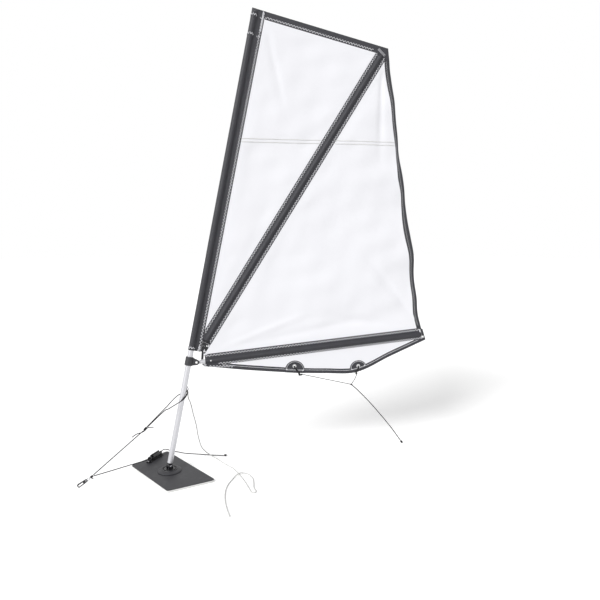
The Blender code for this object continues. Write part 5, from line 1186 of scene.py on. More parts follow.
def sleeve_section(bulge, near, far):
    """A sleeve's outline round its spar, (across, off the cloth), for every station.

    The middle is a circle of the bulge's radius as far as 60 degrees off its top. From
    there each side eases down to the seam's thickness and runs flat to its edge. A side
    whose edge lies within the bulge is round instead. near and far are arrays.
    """
    ease = np.linspace(0.0, 1.0, 8)[1:]
    flat = np.linspace(0.0, 1.0, 6)[1:]
    turn = np.radians(np.linspace(0.0, SLEEVE_LEAVE, 7))
    leave = bulge * math.sin(turn[-1])

    def arc(turn, count):
        """The circle's points at every station, across and off the cloth."""
        circle = bulge * np.stack([np.sin(turn), np.cos(turn)])
        return np.broadcast_to(circle[:, None], (2, count, len(turn)))

    def side(reach):
        """One side of the top from the crown outwards, its edge last."""
        reach = reach[:, None]
        end = np.minimum(bulge * SLEEVE_SETTLE_SHARE, reach - SEWN_STRIP)
        run = leave + (end - leave) * ease
        tail = end + (reach - end) * flat
        slope = np.stack([run, sleeve_height(run, bulge, end)])
        edge = np.stack([tail, np.full_like(tail, SEAM_THICK / 2)])
        return np.concatenate([arc(turn, len(reach)), slope, edge], axis=2)

    if np.all(near > bulge * 1.05):
        near_side = side(near)
    else:
        near_side = arc(np.radians(np.linspace(0.0, 90.0, 12)), len(near))
    mirrored = near_side[:, :, ::-1] * np.array([-1.0, 1.0])[:, None, None]
    top = np.concatenate([mirrored, side(far)[:, :, 1:]], axis=2)
    # The under side is the top's mirror image, and a round edge's point is on both
    count = top.shape[2] - int(top[1, 0, 0] < MERGE)
    under = top[:, :, ::-1][:, :, :count] * np.array([1.0, -1.0])[:, None, None]
    return np.concatenate([top, under], axis=2)


def face_outwards(mesh, matrix):
    """Turns a sleeve's faces round if they look in.

    They look out where the sum of area times height off the plane times the normal's
    part off the plane is positive.
    """
    off = matrix[:3, 1]
    normals, centres = np.empty((2, len(mesh.polygons), 3))
    areas = np.empty(len(mesh.polygons))
    mesh.polygons.foreach_get("normal", normals.ravel())
    mesh.polygons.foreach_get("center", centres.ravel())
    mesh.polygons.foreach_get("area", areas)
    if np.sum(areas * ((centres - matrix[:3, 3]) @ off) * (normals @ off)) < 0:
        mesh.flip_normals()


def sleeve_piece(name, stations, line, bulge, near, far, matrix, seed, pinch=None):
    """A cloth sleeve round a spar, with wrinkles where it hangs loose between spar and seam.

    stations are lengths along the line, or a function of the place across that gives them.
    """
    start, run = line
    across, off = sleeve_section(bulge, near, far)
    if callable(stations):
        along = stations(across)
    else:
        along = np.broadcast_to(stations[:, None], across.shape)
    slack = ramp(np.abs(across), bulge * 0.5, bulge * 1.1)
    slack = slack * (1.0 - ramp(np.abs(across), bulge * 1.7, bulge * 2.0))
    # Puckers every 25 mm or so where the thread draws the cloth, and longer slack folds
    creased = ripple(along, across * 0.4, 0.05, seed) * 0.0006 * slack
    creased = creased + ripple(along * 0.3, across, 0.02, seed + 1) * 0.0005 * slack
    sign = np.where(off < 0, -1.0, 1.0)
    scale = pinch(along) if pinch else 1.0
    lifted = off * scale + sign * np.maximum(creased, -0.0003) * scale
    flat = start + run * along[..., None] + square_to(run) * across[..., None]
    plan = np.stack([across, along], axis=-1)
    plan = np.concatenate([plan, plan[:, :1]], axis=1)
    piece = surface(name, [off_plane(flat, lifted, matrix)], "black_cloth", metres=[plan])
    face_outwards(piece.data, matrix)
    thickened(piece, WALL_THICK, -1.0)
    return piece


def make_sleeves():
    """The sleeves round the mast, the sprit and the boom, and the sewn end at the clew."""
    heights = np.linspace(LUFF_FOOT, HEAD_TOP, 150)
    axis = (np.zeros(2), np.array([0.0, 1.0]))

    def closing(along):
        """The head end narrows over the mast's cap until both sides meet."""
        return 1.0 - 0.90 * np.clip((along - MAST_TOP) / (HEAD_TOP - MAST_TOP), 0.0, 1.0)

    luff = sleeve_piece(
        "luff_pocket", heights, axis, LUFF_BULGE, np.zeros(150), luff_tail(heights), SAIL, 11, closing
    )
    ride_as(luff, "sail", "black_cloth", "luff_sleeve")

    heel, run = LINES["sprit"]
    share = np.linspace(0.0, 1.0, 150)[:, None]

    def slanted(across):
        """Stations from the seam at the heel or the luff's edge, whichever is higher, to the head."""
        beside_luff = (LUFF_TAIL - heel[0] - square_to(run)[0] * across) / run[0]
        first = np.maximum(SPRIT_SEAM, beside_luff)
        return first + (SPRIT_SLEEVE_END - first) * share

    half = np.full(150, SPRIT_SLEEVE_HALF)
    sprit = sleeve_piece("sprit_pocket", slanted, (heel, run), SPRIT_BULGE, half, half, SAIL, 23)
    ride_as(sprit, "sail", "black_cloth", "sprit_sleeve")

    stations = np.linspace(BOOM_SLEEVE_START, BOOM_SLEEVE_END, 110)
    # The boom's axis runs along +X, so the section's far side, to the right, is its lower one
    axis = (np.zeros(2), np.array([1.0, 0.0]))
    up, low = np.full(110, BOOM_SLEEVE_UP), -sleeve_low(stations)
    boom = sleeve_piece("boom_pocket", stations, axis, BOOM_BULGE, up, low, BOOM, 37)
    ride_as(boom, "boom", "black_cloth", "boom_sleeve")
    inside = BOOM_SLEEVE_END - CLEW_OVERLAP
    lower = segment((inside, -BOOM_SLEEVE_DOWN), (FOOT_END, -BOOM_SLEEVE_DOWN), 14)
    upper = segment((inside, BOOM_SLEEVE_UP), (FOOT_END - CLEW_TOP_SETBACK, CLEW_TOP), 14)
    clew = pillow(between(lower, upper, 18), SEAM_THICK + CLEW_SPARE, BOOM, 14.0)
    pad_piece("clew_end", [clew], "black_cloth", "boom")


def sleeve_low(x):
    """Height of the boom sleeve's lower edge, which starts under the bare tube."""
    share = np.clip((x - BOOM_SLEEVE_START) / BOOM_SLEEVE_NOSE, 0.0, 1.0)
    return -(BOOM_SLEEVE_NOSE_DOWN + (BOOM_SLEEVE_DOWN - BOOM_SLEEVE_NOSE_DOWN) * share)


def foot_edge_points():
    """The foot's lower edge as an eased curve, from the nose to the clew."""
    share = np.linspace(0.0, 1.0, FOOT_STEPS)
    bends = np.array(FOOT_SHARES)
    plain = np.interp(share, bends[:, 0], bends[:, 1])
    eased = smooth_table(share, FOOT_SHARES[1:])
    depth = np.where(share < bends[2, 0], plain, eased)
    return np.stack([FOOT_START + (FOOT_END - FOOT_START) * share, -FOOT_DEPTH * depth], axis=-1)


def follow_boom(piece):
    """Bakes the piece's place into its mesh; it rides on no body."""
    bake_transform(piece)


def make_panels():
    """The two white panels above the boom."""
    luff = shifted(LINES["luff"], -TUCK)
    left = shifted(LINES["sprit_left"], TUCK)
    right = shifted(LINES["sprit_right"], -TUCK)
    head = shifted(level(HEAD_LOW), -TUCK)
    foot, fore_top, aft_top = meet(luff, left), meet(luff, head), meet(left, head)
    flat = between(segment(foot, fore_top, PANEL_ROWS), segment(foot, aft_top, PANEL_ROWS), 46)
    width, drop = float(aft_top[0] - fore_top[0]), float(fore_top[1] - foot[1])
    cloth_panel(
        "upper_cloth", flat, SAIL, "sail", "upper_panel", (width, drop), width * drop / 2
    )

    top = PEAK_LOW + TUCK
    aft = leech(np.linspace(1.0, leech_share(top), PANEL_ROWS), TUCK)
    fore = segment(meet(right, LINES["boom"]), meet(right, level(top)), PANEL_ROWS)
    flat = between(fore, aft, 80)
    rise = math.radians(BOOM_RISE)
    down = np.array([math.sin(rise), -math.cos(rise)]) * TUCK
    flat = np.concatenate([flat[:1] + down, flat], axis=0)
    cloth_panel("leech_cloth", flat, SAIL, None, "leech_panel")


def make_seams():
    """The lapped seam that joins two widths of sailcloth across the sail, with its two rows."""
    low, high = np.array(SEAM_FROM), np.array(SEAM_TO)
    line = (low, high - low)
    ends = (
        (meet(LINES["luff"], line), meet(LINES["sprit_left"], line)),
        (meet(LINES["sprit_right"], line), leech_on(line)),
    )
    laps, rows = [], []
    up = np.array([0.0, SEAM_LAP / 2])
    for start, end in ends:
        middle = segment(start, end, 60)
        laps.append(pillow(between(middle - up, middle + up, 7), CLOTH_THICK * 1.8, SAIL, 3.0))
        for side in (-0.8, 0.8):
            rows.append((middle + up * side, CLOTH_THICK, SAIL, 0.0, SEAM_PITCH))
    pad_piece("sail_seam", laps, "white_cloth", "sail", slot="white_cloth")
    sew("seam_sewing", rows, "sail", "white_thread", "white_cloth")


def leech_on(line):
    """Where a line of the sail plane reaches the inner border of the leech's band."""
    points = leech(np.linspace(0.0, 1.0, LEECH_STEPS), LEECH_BAND)
    return points[np.argmin(np.abs(distance_right(points, line)))]


def plane_area(flat):
    """Area of a grid of plane points: half the cross product of each cell's diagonals."""
    first = flat[1:, 1:] - flat[:-1, :-1]
    second = flat[:-1, 1:] - flat[1:, :-1]
    return float(np.abs(first[..., 0] * second[..., 1] - first[..., 1] * second[..., 0]).sum() / 2)


def make_foot_cloth():
    """The white panel under the boom sleeve, and the black band along its lower edge."""
    edge = foot_edge_points()
    inner = edge + np.array([0.0, FOOT_BAND])
    low = inner[inner[:, 1] < -BOOM_SLEEVE_DOWN - FOOT_TIP] - np.array([0.0, TUCK])
    high = np.stack([low[:, 0], np.full(len(low), -BOOM_SLEEVE_DOWN + TUCK)], axis=-1)
    cloth_panel("foot_cloth", between(low, high, 14), BOOM, "boom", "foot_panel")
    top = np.minimum(inner[:, 1], sleeve_low(edge[:, 0]) + 0.001)
    upper = np.stack([edge[:, 0], np.maximum(top, edge[:, 1] + 0.004)], axis=-1)
    band = edge_band(edge, upper, BAND_THICK, BOOM, 9)
    pad_piece("foot_tape", [band], "black_cloth", "boom", "foot_band")


def make_bands():
    """The bands along head and leech, the patch in the peak and its webbing tab."""
    luff = shifted(LINES["luff"], -TUCK / 2)
    low = segment(meet(luff, level(HEAD_LOW)), leech_at(HEAD_LOW), 90)
    high = segment(meet(luff, level(HEAD_TOP)), (PEAK_REACH, HEAD_TOP), 90)
    edges = []
    for height in (PEAK_LOW, HEAD_LOW + TUCK):
        start = meet(LINES["sprit_left"], level(height))
        edges.append(segment(start, leech_at(height, CLEARANCE), 24))
    corner = pillow(between(*edges, 10), BAND_THICK + CLEARANCE, SAIL, 14.0)
    bands = [edge_band(high, low, BAND_THICK, SAIL, 12), corner]
    pad_piece("head_tape", bands, "black_cloth", "sail", "head_band")

    start, end = np.array(PEAK_TAB)
    aside = square_to(end - start) / np.linalg.norm(end - start) * TAB_WIDTH / 2
    flat = between(segment(start + aside, end + aside, 14), segment(start - aside, end - aside, 14), 8)
    tab = pillow(flat, SEAM_THICK + PATCH_THICK * 2, SAIL, 10.0)
    pad_piece("peak_tab", [tab], "grey_webbing", "sail")

    share = np.linspace(leech_share(HEAD_LOW + TUCK - CLEARANCE), LEECH_TAPE_END_SHARE, 260)
    width = LEECH_BAND * smooth_table(np.minimum(share, 1.0), LEECH_WIDTH_SHARES)
    band = edge_band(leech(share), leech(share, width), BAND_THICK, SAIL, 13)
    tape = pad_piece("leech_tape", [band], "black_cloth", None, "leech_band")
    follow_boom(tape)


def make_heel():
    """The patch at the sprit's heel, and the strap that holds it to the boom."""
    seam, beside, low_luff, low_right = heel_corners()
    high_right = meet(LINES["sprit_right"], seam)
    flat = between(segment(low_luff, low_right, 16), segment(beside, high_right, 16), 16)
    pad = pillow(flat, SEAM_THICK + HEEL_SPARE, SAIL, 12.0)
    follow_boom(pad_piece("heel_pad", [pad], "patch", None, "heel_patch"))

    tube = (boom_to_sail(0.0, BOOM_RADIUS + HEEL_SPARE), LINES["boom"][1])
    cut = (low_luff, low_right - low_luff)
    sides = []
    for reach in (STRAP_REACH, STRAP_REACH + STRAP_WIDTH):
        upright = (np.array([reach, tube[0][1]]), np.array(STRAP_RUN))
        sides.append((meet(upright, tube), meet(upright, cut) + np.array([0.0, STRAP_LAP])))
    flat = between(segment(*sides[0], 12), segment(*sides[1], 12), 8)
    pad = pillow(flat, STRAP_THICK, SAIL, 10.0)
    strap = pad_piece("heel_strap", [pad], "patch", None, "tack_strap")
    follow_boom(strap)


def heel_corners():
    """The heel patch's upper seam line, its corner beside the luff and its two lower corners."""
    heel, run = LINES["sprit"]
    luff_edge = shifted(LINES["luff"], CLEARANCE)
    seam = (heel + run * (SPRIT_SEAM + 0.002), square_to(run))
    low_luff = luff_edge[0] + unit(LINES["luff"][1]) * HEEL_RISE
    low_right = meet(LINES["sprit_right"], shifted(LINES["boom"], -CLEARANCE))
    return seam, meet(luff_edge, seam), low_luff, low_right


def leech_share(height):
    """The share of the leech's length, from its peak, that lies above a height."""
    peak, clew = leech(0.0), leech(1.0)
    return (peak[1] - height) / (peak[1] - clew[1])


def leech_at(height, inset=0.0):
    """The leech's point at a height of the sail."""
    points = leech(np.linspace(0.0, 1.0, LEECH_STEPS), inset)
    return np.array([np.interp(-height, -points[:, 1], points[:, 0]), height])


def moon_arc(name, turn, radius):
    """The round edge of a half-moon patch, at turns from its middle and a radius."""
    centre, slant = moon_centre(name)
    turn = turn + slant
    round_edge = np.stack([np.cos(turn), np.sin(turn) * MOON_HEIGHT_SHARES[name]], axis=-1)
    return centre + radius * round_edge


def make_moons():
    """The half-moon patches, folded round the foot and pierced for their eyelets."""
    half = BAND_THICK / 2 + CLEARANCE + PATCH_THICK
    for name, (x, radius, rise, _, _) in MOONS.items():
        over = moon_arc(name, np.linspace(math.pi, 0.0, 41), radius)
        low = np.stack([over[:, 0], foot_low(over[:, 0]) - PATCH_THICK - CLEARANCE], axis=-1)
        moon = pillow(between(low, over, 26), half * 2, BOOM, 12.0)
        pad_piece(name + "_moon", [moon], "black_cloth", "boom", name + "_patch")
        at = (x, moon_centre(name)[0][1] + rise)
        pierce(at, [name + "_moon", "foot_tape", "foot_cloth"])
    pierce((FOOT_END - CLEW_EYELET[0], CLEW_EYELET[1]), ["clew_end"], 0.7)


def pierce(at, names, scale=1.0):
    """Cuts the hole that an eyelet's barrel fills through the cloth pieces round it."""
    turn = np.linspace(0.0, math.tau, 32, endpoint=False)
    circle = np.array(at) + (EYELET_HOLE + HOLE_SPARE) * scale * np.stack([np.cos(turn), np.sin(turn)], -1)
    rings = np.stack([off_plane(circle, off, BOOM) for off in (-DRILL_REACH, DRILL_REACH)])
    drill = surface("eyelet_drill", [rings], "patch", caps=True)
    for name in names:
        piece = bpy.data.objects[name]
        cut = piece.modifiers.new("eyelet hole", "BOOLEAN")
        cut.operation = "DIFFERENCE"
        cut.solver = "EXACT"
        cut.object = drill
        apply_modifiers(piece)
    bpy.data.objects.remove(drill)


def apply_modifiers(piece):
    """Turns a piece's modifiers into its mesh."""
    bpy.context.view_layer.update()
    graph = bpy.context.evaluated_depsgraph_get()
    mesh = bpy.data.meshes.new_from_object(piece.evaluated_get(graph))
    piece.modifiers.clear()
    piece.data = mesh


def stitch_grid(path, off, matrix, width, pitch, thread):
    """One row of sewing on both faces of the cloth, as thin four-sided threads.

    The thread swings across its row by width and dips into the cloth at each turn,
    so with no width it is a row of plain stitches. off is the cloth's half thickness,
    or a function of the plane points that gives it.
    """
    run = path_lengths(path)
    steps = max(4, int(round(run[-1] / pitch)) * 4 + 1)
    base = at_lengths(path, run, np.linspace(0.0, run[-1], steps))
    tangent = np.gradient(base, axis=0)
    tangent /= np.linalg.norm(tangent, axis=1)[:, None]
    across = np.stack([tangent[:, 1], -tangent[:, 0]], axis=-1)
    phase = np.arange(steps)
    line = base + across * (zigzag(phase) * width / 2)[:, None]
    if callable(off):
        off = off(line)
    if width:
        rise = np.where(phase % 2 == 0, thread * 0.75, -thread * 0.15)
        half, way = 0.5 * 1.35, tangent
    else:
        rise = np.where(phase % 2 == 0, thread * 0.7, thread * 0.45)
        rise = np.where(phase % 4 == 0, -thread * 0.9, rise)
        half, way = 0.5, across
    grids = []
    for side in (-1.0, 1.0):
        ring = [
            in_plane(line + way * thread * sideways, side * (off + rise + upward * thread), matrix)
            for sideways, upward in ((half, 0.0), (0.0, 0.5), (-half, 0.0), (0.0, -0.5))
        ]
        grids.append(np.stack(ring, axis=1))
    return grids


def zigzag(phase):
    """The swing of a zigzag at each of its steps, four to a wave."""
    return np.array([0.0, 1.0, 0.0, -1.0])[phase % 4]


def tack(start, end, off, matrix=SAIL, width=TACK_WIDTH):
    """A short bar of close zigzag, as a row."""
    return np.array([start, end]), off, matrix, width, TACK_PITCH


def sew(name, rows, body, look="thread", slot="white_cord"):
    """One object of all the sewing on one piece. Each row is (path, off, frame, width, pitch)."""
    thread = bpy.context.scene.canoe_sail_cloth.thread_width
    grids = []
    for row in rows:
        grids += stitch_grid(*row, thread)
    return ride_as(surface(name, grids, look, caps=True), body, slot)


def sew_luff(wide, pitch):
    """The luff sleeve's long row, the rows across it and round the mast, and its tack bars."""
    seam = SEAM_THICK / 2
    heights = np.array([LUFF_FOOT + ROW_END, HEAD_TOP - ROW_END])
    luff = np.stack([luff_tail(heights) - NEAR_EDGE, heights], axis=-1)
    rows = [(luff, seam, SAIL, wide, pitch)]
    hem = LUFF_FOOT + HEM_RISE
    for height, tail in ((hem, LUFF_TAIL), *((row, LUFF_TAIL_HEAD) for row in HEAD_ROWS)):
        row = np.array([[LUFF_BULGE * 2.2, height], [tail - ROW_END, height]])
        rows.append((row, seam, SAIL, wide, pitch))
    foot = np.array([0.0, LUFF_FOOT])
    for start, end, width in LUFF_TACKS:
        rows.append(tack(foot + start, foot + end, seam + 0.0012, width=width))
    top = luff[-1] + np.array([[0.0, -0.10], [0.0, -0.002]])
    rows.append((top, seam + 0.0002, SAIL, wide, pitch * 0.5))
    sew("luff_sewing", rows, "sail")
    for name, height in zip(("luff_hem", "head_hem_high", "head_hem_low"), (hem, *HEAD_ROWS)):
        round_hem(name, height)


def sew_sprit(wide, pitch):
    """A row along either edge of the sprit's sleeve."""
    run = LINES["sprit"][1]

    def on_sprit(points):
        """The sprit sleeve's height under a stitch."""
        across = np.abs(distance_right(points, LINES["sprit"]))
        return sleeve_height(across, SPRIT_BULGE, SPRIT_BULGE * SLEEVE_SETTLE_SHARE)

    rows = []
    for side in (-1, 1):
        line = shifted(LINES["sprit"], side * (SPRIT_SLEEVE_HALF - NEAR_EDGE * 0.85))
        first = line[0] + run * (SPRIT_SEAM + ROW_END)
        if side < 0:
            first = meet(line, shifted(LINES["luff"], 0.003))
        last = line[0] + run * (SPRIT_SLEEVE_END - ROW_END)
        rows.append((np.array([first, last]), on_sprit, SAIL, wide * 0.9, pitch))
    sew("sprit_sewing", rows, "sail")


def sew_boom(wide, pitch):
    """The boom sleeve's upper and lower rows, the tack at its nose and the row at the clew."""

    def on_boom(points):
        """The boom sleeve's height under a stitch."""
        return sleeve_height(np.abs(points[:, 1]), BOOM_BULGE, BOOM_BULGE * SLEEVE_SETTLE_SHARE)

    seam = SEAM_THICK / 2
    x = np.linspace(BOOM_SLEEVE_START + ROW_END, FOOT_END - 0.012, 60)
    upper = np.stack([x, np.full(60, BOOM_SLEEVE_UP - NEAR_EDGE)], axis=-1)
    lower = np.stack([x, sleeve_low(x) + NEAR_EDGE * 0.62 * ramp(x, 0.05, 0.10)], axis=-1)
    nose = np.array([BOOM_SLEEVE_START, BOOM_SLEEVE_UP - 0.0025])
    high, low = (FOOT_END - 0.027, BOOM_SLEEVE_UP - 0.006), (FOOT_END - 0.020, 0.006 - BOOM_SLEEVE_DOWN)
    rows = [
        (upper[x < BOOM_SLEEVE_END], on_boom, BOOM, wide * 0.9, pitch),
        (lower[x > BOOM_SLEEVE_START + 0.045], on_boom, BOOM, wide * 0.9, pitch),
        tack(nose, nose + (0.010, 0.0), seam + TACK_RISE, BOOM, WIDE_TACK),
        (np.array([high, low]), seam + 0.0001, BOOM, 0.009, 0.005),
    ]
    sew("boom_sewing", rows, "boom")


def sew_head(wide, pitch):
    """The row along the head's band, the tab's zigzag and the row down the leech's band."""
    low = HEAD_LOW + NEAR_EDGE * 1.25
    head = np.array([[LUFF_TAIL_HEAD + ROW_END, low], [PEAK_REACH - 0.075, low]])
    sew("head_sewing", [(head, BAND_THICK / 2, SAIL, wide, pitch)], "sail")
    start, end = np.array(PEAK_TAB)
    tab = np.array([start + (end - start) * 0.08, start + (end - start) * 0.92])
    row = (tab, SEAM_THICK / 2 + PATCH_THICK, SAIL, TAB_WIDTH * 0.6, 0.006)
    sew("tab_sewing", [row], "sail", "grey_thread")

    share = np.linspace(leech_share(PEAK_LOW), 0.99, 260)
    width = LEECH_BAND * smooth_table(share, LEECH_WIDTH_SHARES)
    row = (leech(share, width * 0.62), BAND_THICK / 2, SAIL, wide * 0.8, pitch * 0.8)
    follow_boom(sew("leech_sewing", [row], None, "grey_thread"))


def sew_foot(wide, pitch):
    """The plain row along the foot's band, the zigzag at its nose and the half-moons' rows."""
    band = BAND_THICK / 2
    line = foot_edge_points() + np.array([0.0, FOOT_BAND * 0.64])
    line = line[line[:, 1] < sleeve_low(line[:, 0]) - 0.002]
    rows = [
        (line, band, BOOM, 0.0, STITCH_PITCH),
        (segment(*NOSE_ROW, 10), band, BOOM, wide, pitch),
        tack(*NOSE_TACK, band + TACK_RISE, BOOM),
    ]
    on_patch = band + CLEARANCE + PATCH_THICK
    for name, (_, radius, _, _, _) in MOONS.items():
        arc = moon_arc(name, np.linspace(math.pi - 0.10, 0.10, 60), radius - MOON_ROW_INSET)
        sill = np.array([arc[0], arc[-1]]) - np.array([0.0, 0.002])
        rows += [(row, on_patch, BOOM, 0.0, STITCH_PITCH) for row in (arc, sill)]
        for corner, way in ((arc[0], 1.0), (arc[-1], -1.0)):
            rows.append(tack(corner, corner + (way * 0.006, -0.001), on_patch, BOOM))
    sew("foot_sewing", rows, "boom")


def sew_heel(wide, pitch):
    """The two rows across the heel patch and the tack bars on its after edge."""
    heel, run = LINES["sprit"]
    aft, on_patch = square_to(run), SEAM_THICK / 2 + CLEARANCE
    cross = heel + run * (SPRIT_SEAM - 0.006)
    high = np.array([cross - aft * 0.008, cross + aft * (SPRIT_SLEEVE_HALF - 0.008)])
    low = high[:1] - run * 0.018 + aft * np.array([[0.0], [0.020]])
    rows = [(row, on_patch, SAIL, wide * 0.6, pitch) for row in (high, low)]
    follow_boom(sew("heel_sewing", rows, None, "grey_thread"))
    bar = np.array([cross + aft * 0.0235, cross + aft * 0.0255 - run * 0.011])
    rows = [tack(*bar, on_patch), tack(*(bar - run * 0.030 - aft * 0.006), on_patch)]
    follow_boom(sew("heel_tacks", rows, None))


def make_sewing():
    """Every row of stitches that shows: along the sleeves, the bands and the patches."""
    cloth = bpy.context.scene.canoe_sail_cloth
    for rows in (sew_luff, sew_sprit, sew_boom, sew_head, sew_foot, sew_heel):
        rows(cloth.zigzag_width, cloth.zigzag_pitch)


def round_hem(name, height):
    """A zigzag where it runs round the mast's side of the luff sleeve."""
    cloth = bpy.context.scene.canoe_sail_cloth
    thread = cloth.thread_width
    turn = np.radians(np.linspace(*HEM_TURN, HEM_STEPS))
    phase = np.arange(HEM_STEPS)
    swing = zigzag(phase) * cloth.zigzag_width / 2
    reach = LUFF_BULGE + np.where(phase % 2 == 0, thread * 0.9, thread * 0.3) + 0.0005
    flat = np.zeros(HEM_STEPS)
    spots = np.stack([reach * np.cos(turn), reach * np.sin(turn), height + swing], axis=-1)
    around = np.stack([-np.sin(turn), np.cos(turn), flat], axis=-1)
    out = np.stack([np.cos(turn), np.sin(turn), flat], axis=-1)
    ring = [
        spots + around * thread * sideways + out * thread * outward
        for sideways, outward in ((0.6, 0), (0, 0.5), (-0.6, 0), (0, -0.5))
    ]
    piece = surface(name, [placed(np.stack(ring, axis=1), SAIL)], "thread", caps=True)
    ride_as(piece, "sail", "white_cord")


def turned(profile, matrix):
    """A turned piece: each (radius, height) of the profile goes round the matrix's +Z."""
    angle = np.arange(RIVET_SIDES) / RIVET_SIDES * math.tau
    ring = np.stack([np.cos(angle), np.sin(angle)], axis=-1)
    points = np.empty((len(profile), RIVET_SIDES, 3))
    points[..., :2] = profile[:, None, :1] * ring
    points[..., 2] = profile[:, None, 1]
    return placed(points, np.array(matrix))


def make_rivets():
    """White rivets through the heel patch and the boom sleeve: a dome on either face."""
    for name, (along, up), matrix, body, face in RIVETS:
        turn = np.linspace(0.0, math.pi / 2, 6)
        cap = np.stack([RIVET_RADIUS * np.sin(turn), RIVET_DOME * np.cos(turn) + face], axis=-1)
        profile = np.vstack([cap, cap[::-1] * np.array([1.0, -1.0])])
        place = Matrix(matrix.tolist()) @ Matrix.Translation((along, 0, up))
        place = place @ Matrix.Rotation(math.radians(-90), 4, "X")
        piece = surface(name, [turned(profile, place)], "white_plastic")
        ride_as(piece, body, "white_plastic")
        if body is None:
            follow_boom(piece)


def finish_part(node, look, round_by):
    """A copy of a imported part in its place, its facets merged and its edges rounded a little."""
    source = frame["nodes"][node]
    mesh = bpy.data.meshes.new(node + "_finish")
    bm = bmesh.new()
    bm.from_mesh(source.data)
    bmesh.ops.remove_doubles(bm, verts=bm.verts, dist=MERGE * 5)
    bmesh.ops.dissolve_limit(
        bm, angle_limit=math.radians(0.5), verts=bm.verts, edges=bm.edges, delimit={"NORMAL"}
    )
    settle(bm, mesh)
    piece = own_object(mesh.name, mesh, look)
    if round_by:
        bevel = piece.modifiers.new("rounded edges", "BEVEL")
        bevel.width = round_by
        bevel.segments = 2
        bevel.limit_method = "ANGLE"
        bevel.angle_limit = math.radians(SHARP_ANGLE)
        bevel.harden_normals = False
    ride_as(piece, source["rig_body"], look, node)


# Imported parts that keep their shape, each with its finish and the rounding of its edges
SPAR_PARTS = (
    ("mast_lower_tube", "aluminium", 0.0003),
    ("mast_upper_tube", "aluminium", 0.0003),
    ("mast_plug", "black_plastic", 0.0004),
    ("mast_cap", "black_plastic", 0.0004),
    ("boom_tube", "aluminium", 0.0003),
    ("boom_end", "pale_plastic", 0.0005),
    ("sprit_tube", "aluminium", 0.0003),
    ("sprit_cap", "black_plastic", 0.0004),
)
FITTING_PARTS = (
    ("collar", "black_plastic", 0.0006),
    ("gooseneck_pin", "white_plastic", 0.0004),
    ("stay_eye", "steel", 0.0002),
    ("fore_eyelet", "eyelet", 0.0002),
    ("aft_eyelet", "eyelet", 0.0002),
    ("clew_eyelet", "eyelet", 0.0002),
    ("bow_ring", "steel", 0.0),
    ("snap_hook", "gloss_black", 0.0006),
    ("hook_gate", "black_plastic", 0.0003),
)
DECK_PARTS = (
    ("foam_pad", "foam", 0.0012),
    ("base_plate", "plate", 0.0006),
    ("foot_bolt", "steel", 0.0),
    ("foot_flange", "black_plastic", 0.0005),
    ("foot_fork", "gloss_black", 0.0006),
    ("fold_pin", "steel", 0.0004),
    ("fold_nut", "steel", 0.0003),
    ("cleat_body", "gloss_black", 0.0003),
    ("cleat_screw_fore", "steel", 0.0002),
    ("cleat_screw_aft", "steel", 0.0002),
)


def finish_parts(parts):
    """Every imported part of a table."""
    for part in parts:
        finish_part(*part)


def white_rays(tree):
    """1 for rays that show the surroundings: from the camera, off gloss and through glass."""
    rays = add(tree, "LightPath").outputs
    some = maths(tree, "MAXIMUM", rays["Is Camera Ray"], rays["Is Glossy Ray"])
    return maths(tree, "MAXIMUM", some, rays["Is Transmission Ray"])


def make_stage(scene):
    """The camera of the photograph, a pale floor, even surroundings and one soft lamp."""
    stage = scene.canoe_sail_stage
    camera = bpy.data.cameras.new("camera")
    camera.sensor_width = SENSOR_MM
    camera.lens = SENSOR_MM * FOCUS_PX / PICTURE_PX
    eye = linked("camera", camera)
    heading, dip = math.radians(CAMERA_HEADING), math.radians(CAMERA_DIP)
    look = Vector((math.cos(heading) * math.cos(dip), math.sin(heading) * math.cos(dip), -math.sin(dip)))
    eye.location = CAMERA_AT
    eye.rotation_euler = look.to_track_quat("-Z", "Y").to_euler()
    scene.camera = eye

    corners = [(x * FLOOR_HALF, y * FLOOR_HALF, 0) for x, y in ((-1, -1), (1, -1), (1, 1), (-1, 1))]
    mesh = bpy.data.meshes.new("floor")
    mesh.from_pydata(corners, [], [(0, 1, 2, 3)])
    linked("floor", mesh)
    made, tree, shader = new_material("pale_floor", stage.floor, 0.9)
    shader.inputs["Specular IOR Level"].default_value = 0.0
    shader.inputs["Emission Color"].default_value = (1, 1, 1, 1)
    glow = maths(tree, "MULTIPLY", white_rays(tree), FLOOR_GLOW)
    tree.links.new(glow, shader.inputs["Emission Strength"])
    mesh.materials.append(made)

    world = bpy.data.worlds.new("surroundings")
    scene.world = world
    world.use_nodes = True
    tree = world.node_tree
    background = tree.nodes["Background"]
    background.inputs["Color"].default_value = (1, 1, 1, 1)
    inputs = {"Value": white_rays(tree), "To Min": stage.surround, "To Max": 1.0}
    strength = add(tree, "MapRange", inputs).outputs["Result"]
    tree.links.new(strength, background.inputs["Strength"])

    lamp = bpy.data.lights.new("key_lamp", "SUN")
    lamp.energy = stage.lamp
    lamp.angle = math.radians(LAMP_SPREAD)
    key = linked("key_lamp", lamp)
    key.rotation_euler = Vector(LAMP_WAY).to_track_quat("-Z", "Y").to_euler()
    scene.view_settings.view_transform = "Standard"


class CANOESAIL_OT_stage(bpy.types.Operator):
    """Set the camera, the floor, the surroundings and the lamp"""

    bl_idname = "canoe_sail.stage"
    bl_label = "Set the stage"

    def execute(self, context):
        make_looks(context.scene)
        make_stage(context.scene)
        return {"FINISHED"}


class CANOESAIL_OT_fittings(bpy.types.Operator):
    """Finish the collar, the pins, the eyelets, the pad eye and the snap hook"""

    bl_idname = "canoe_sail.fittings"
    bl_label = "Finish the fittings"

    def execute(self, context):
        finish_parts(FITTING_PARTS)
        return {"FINISHED"}


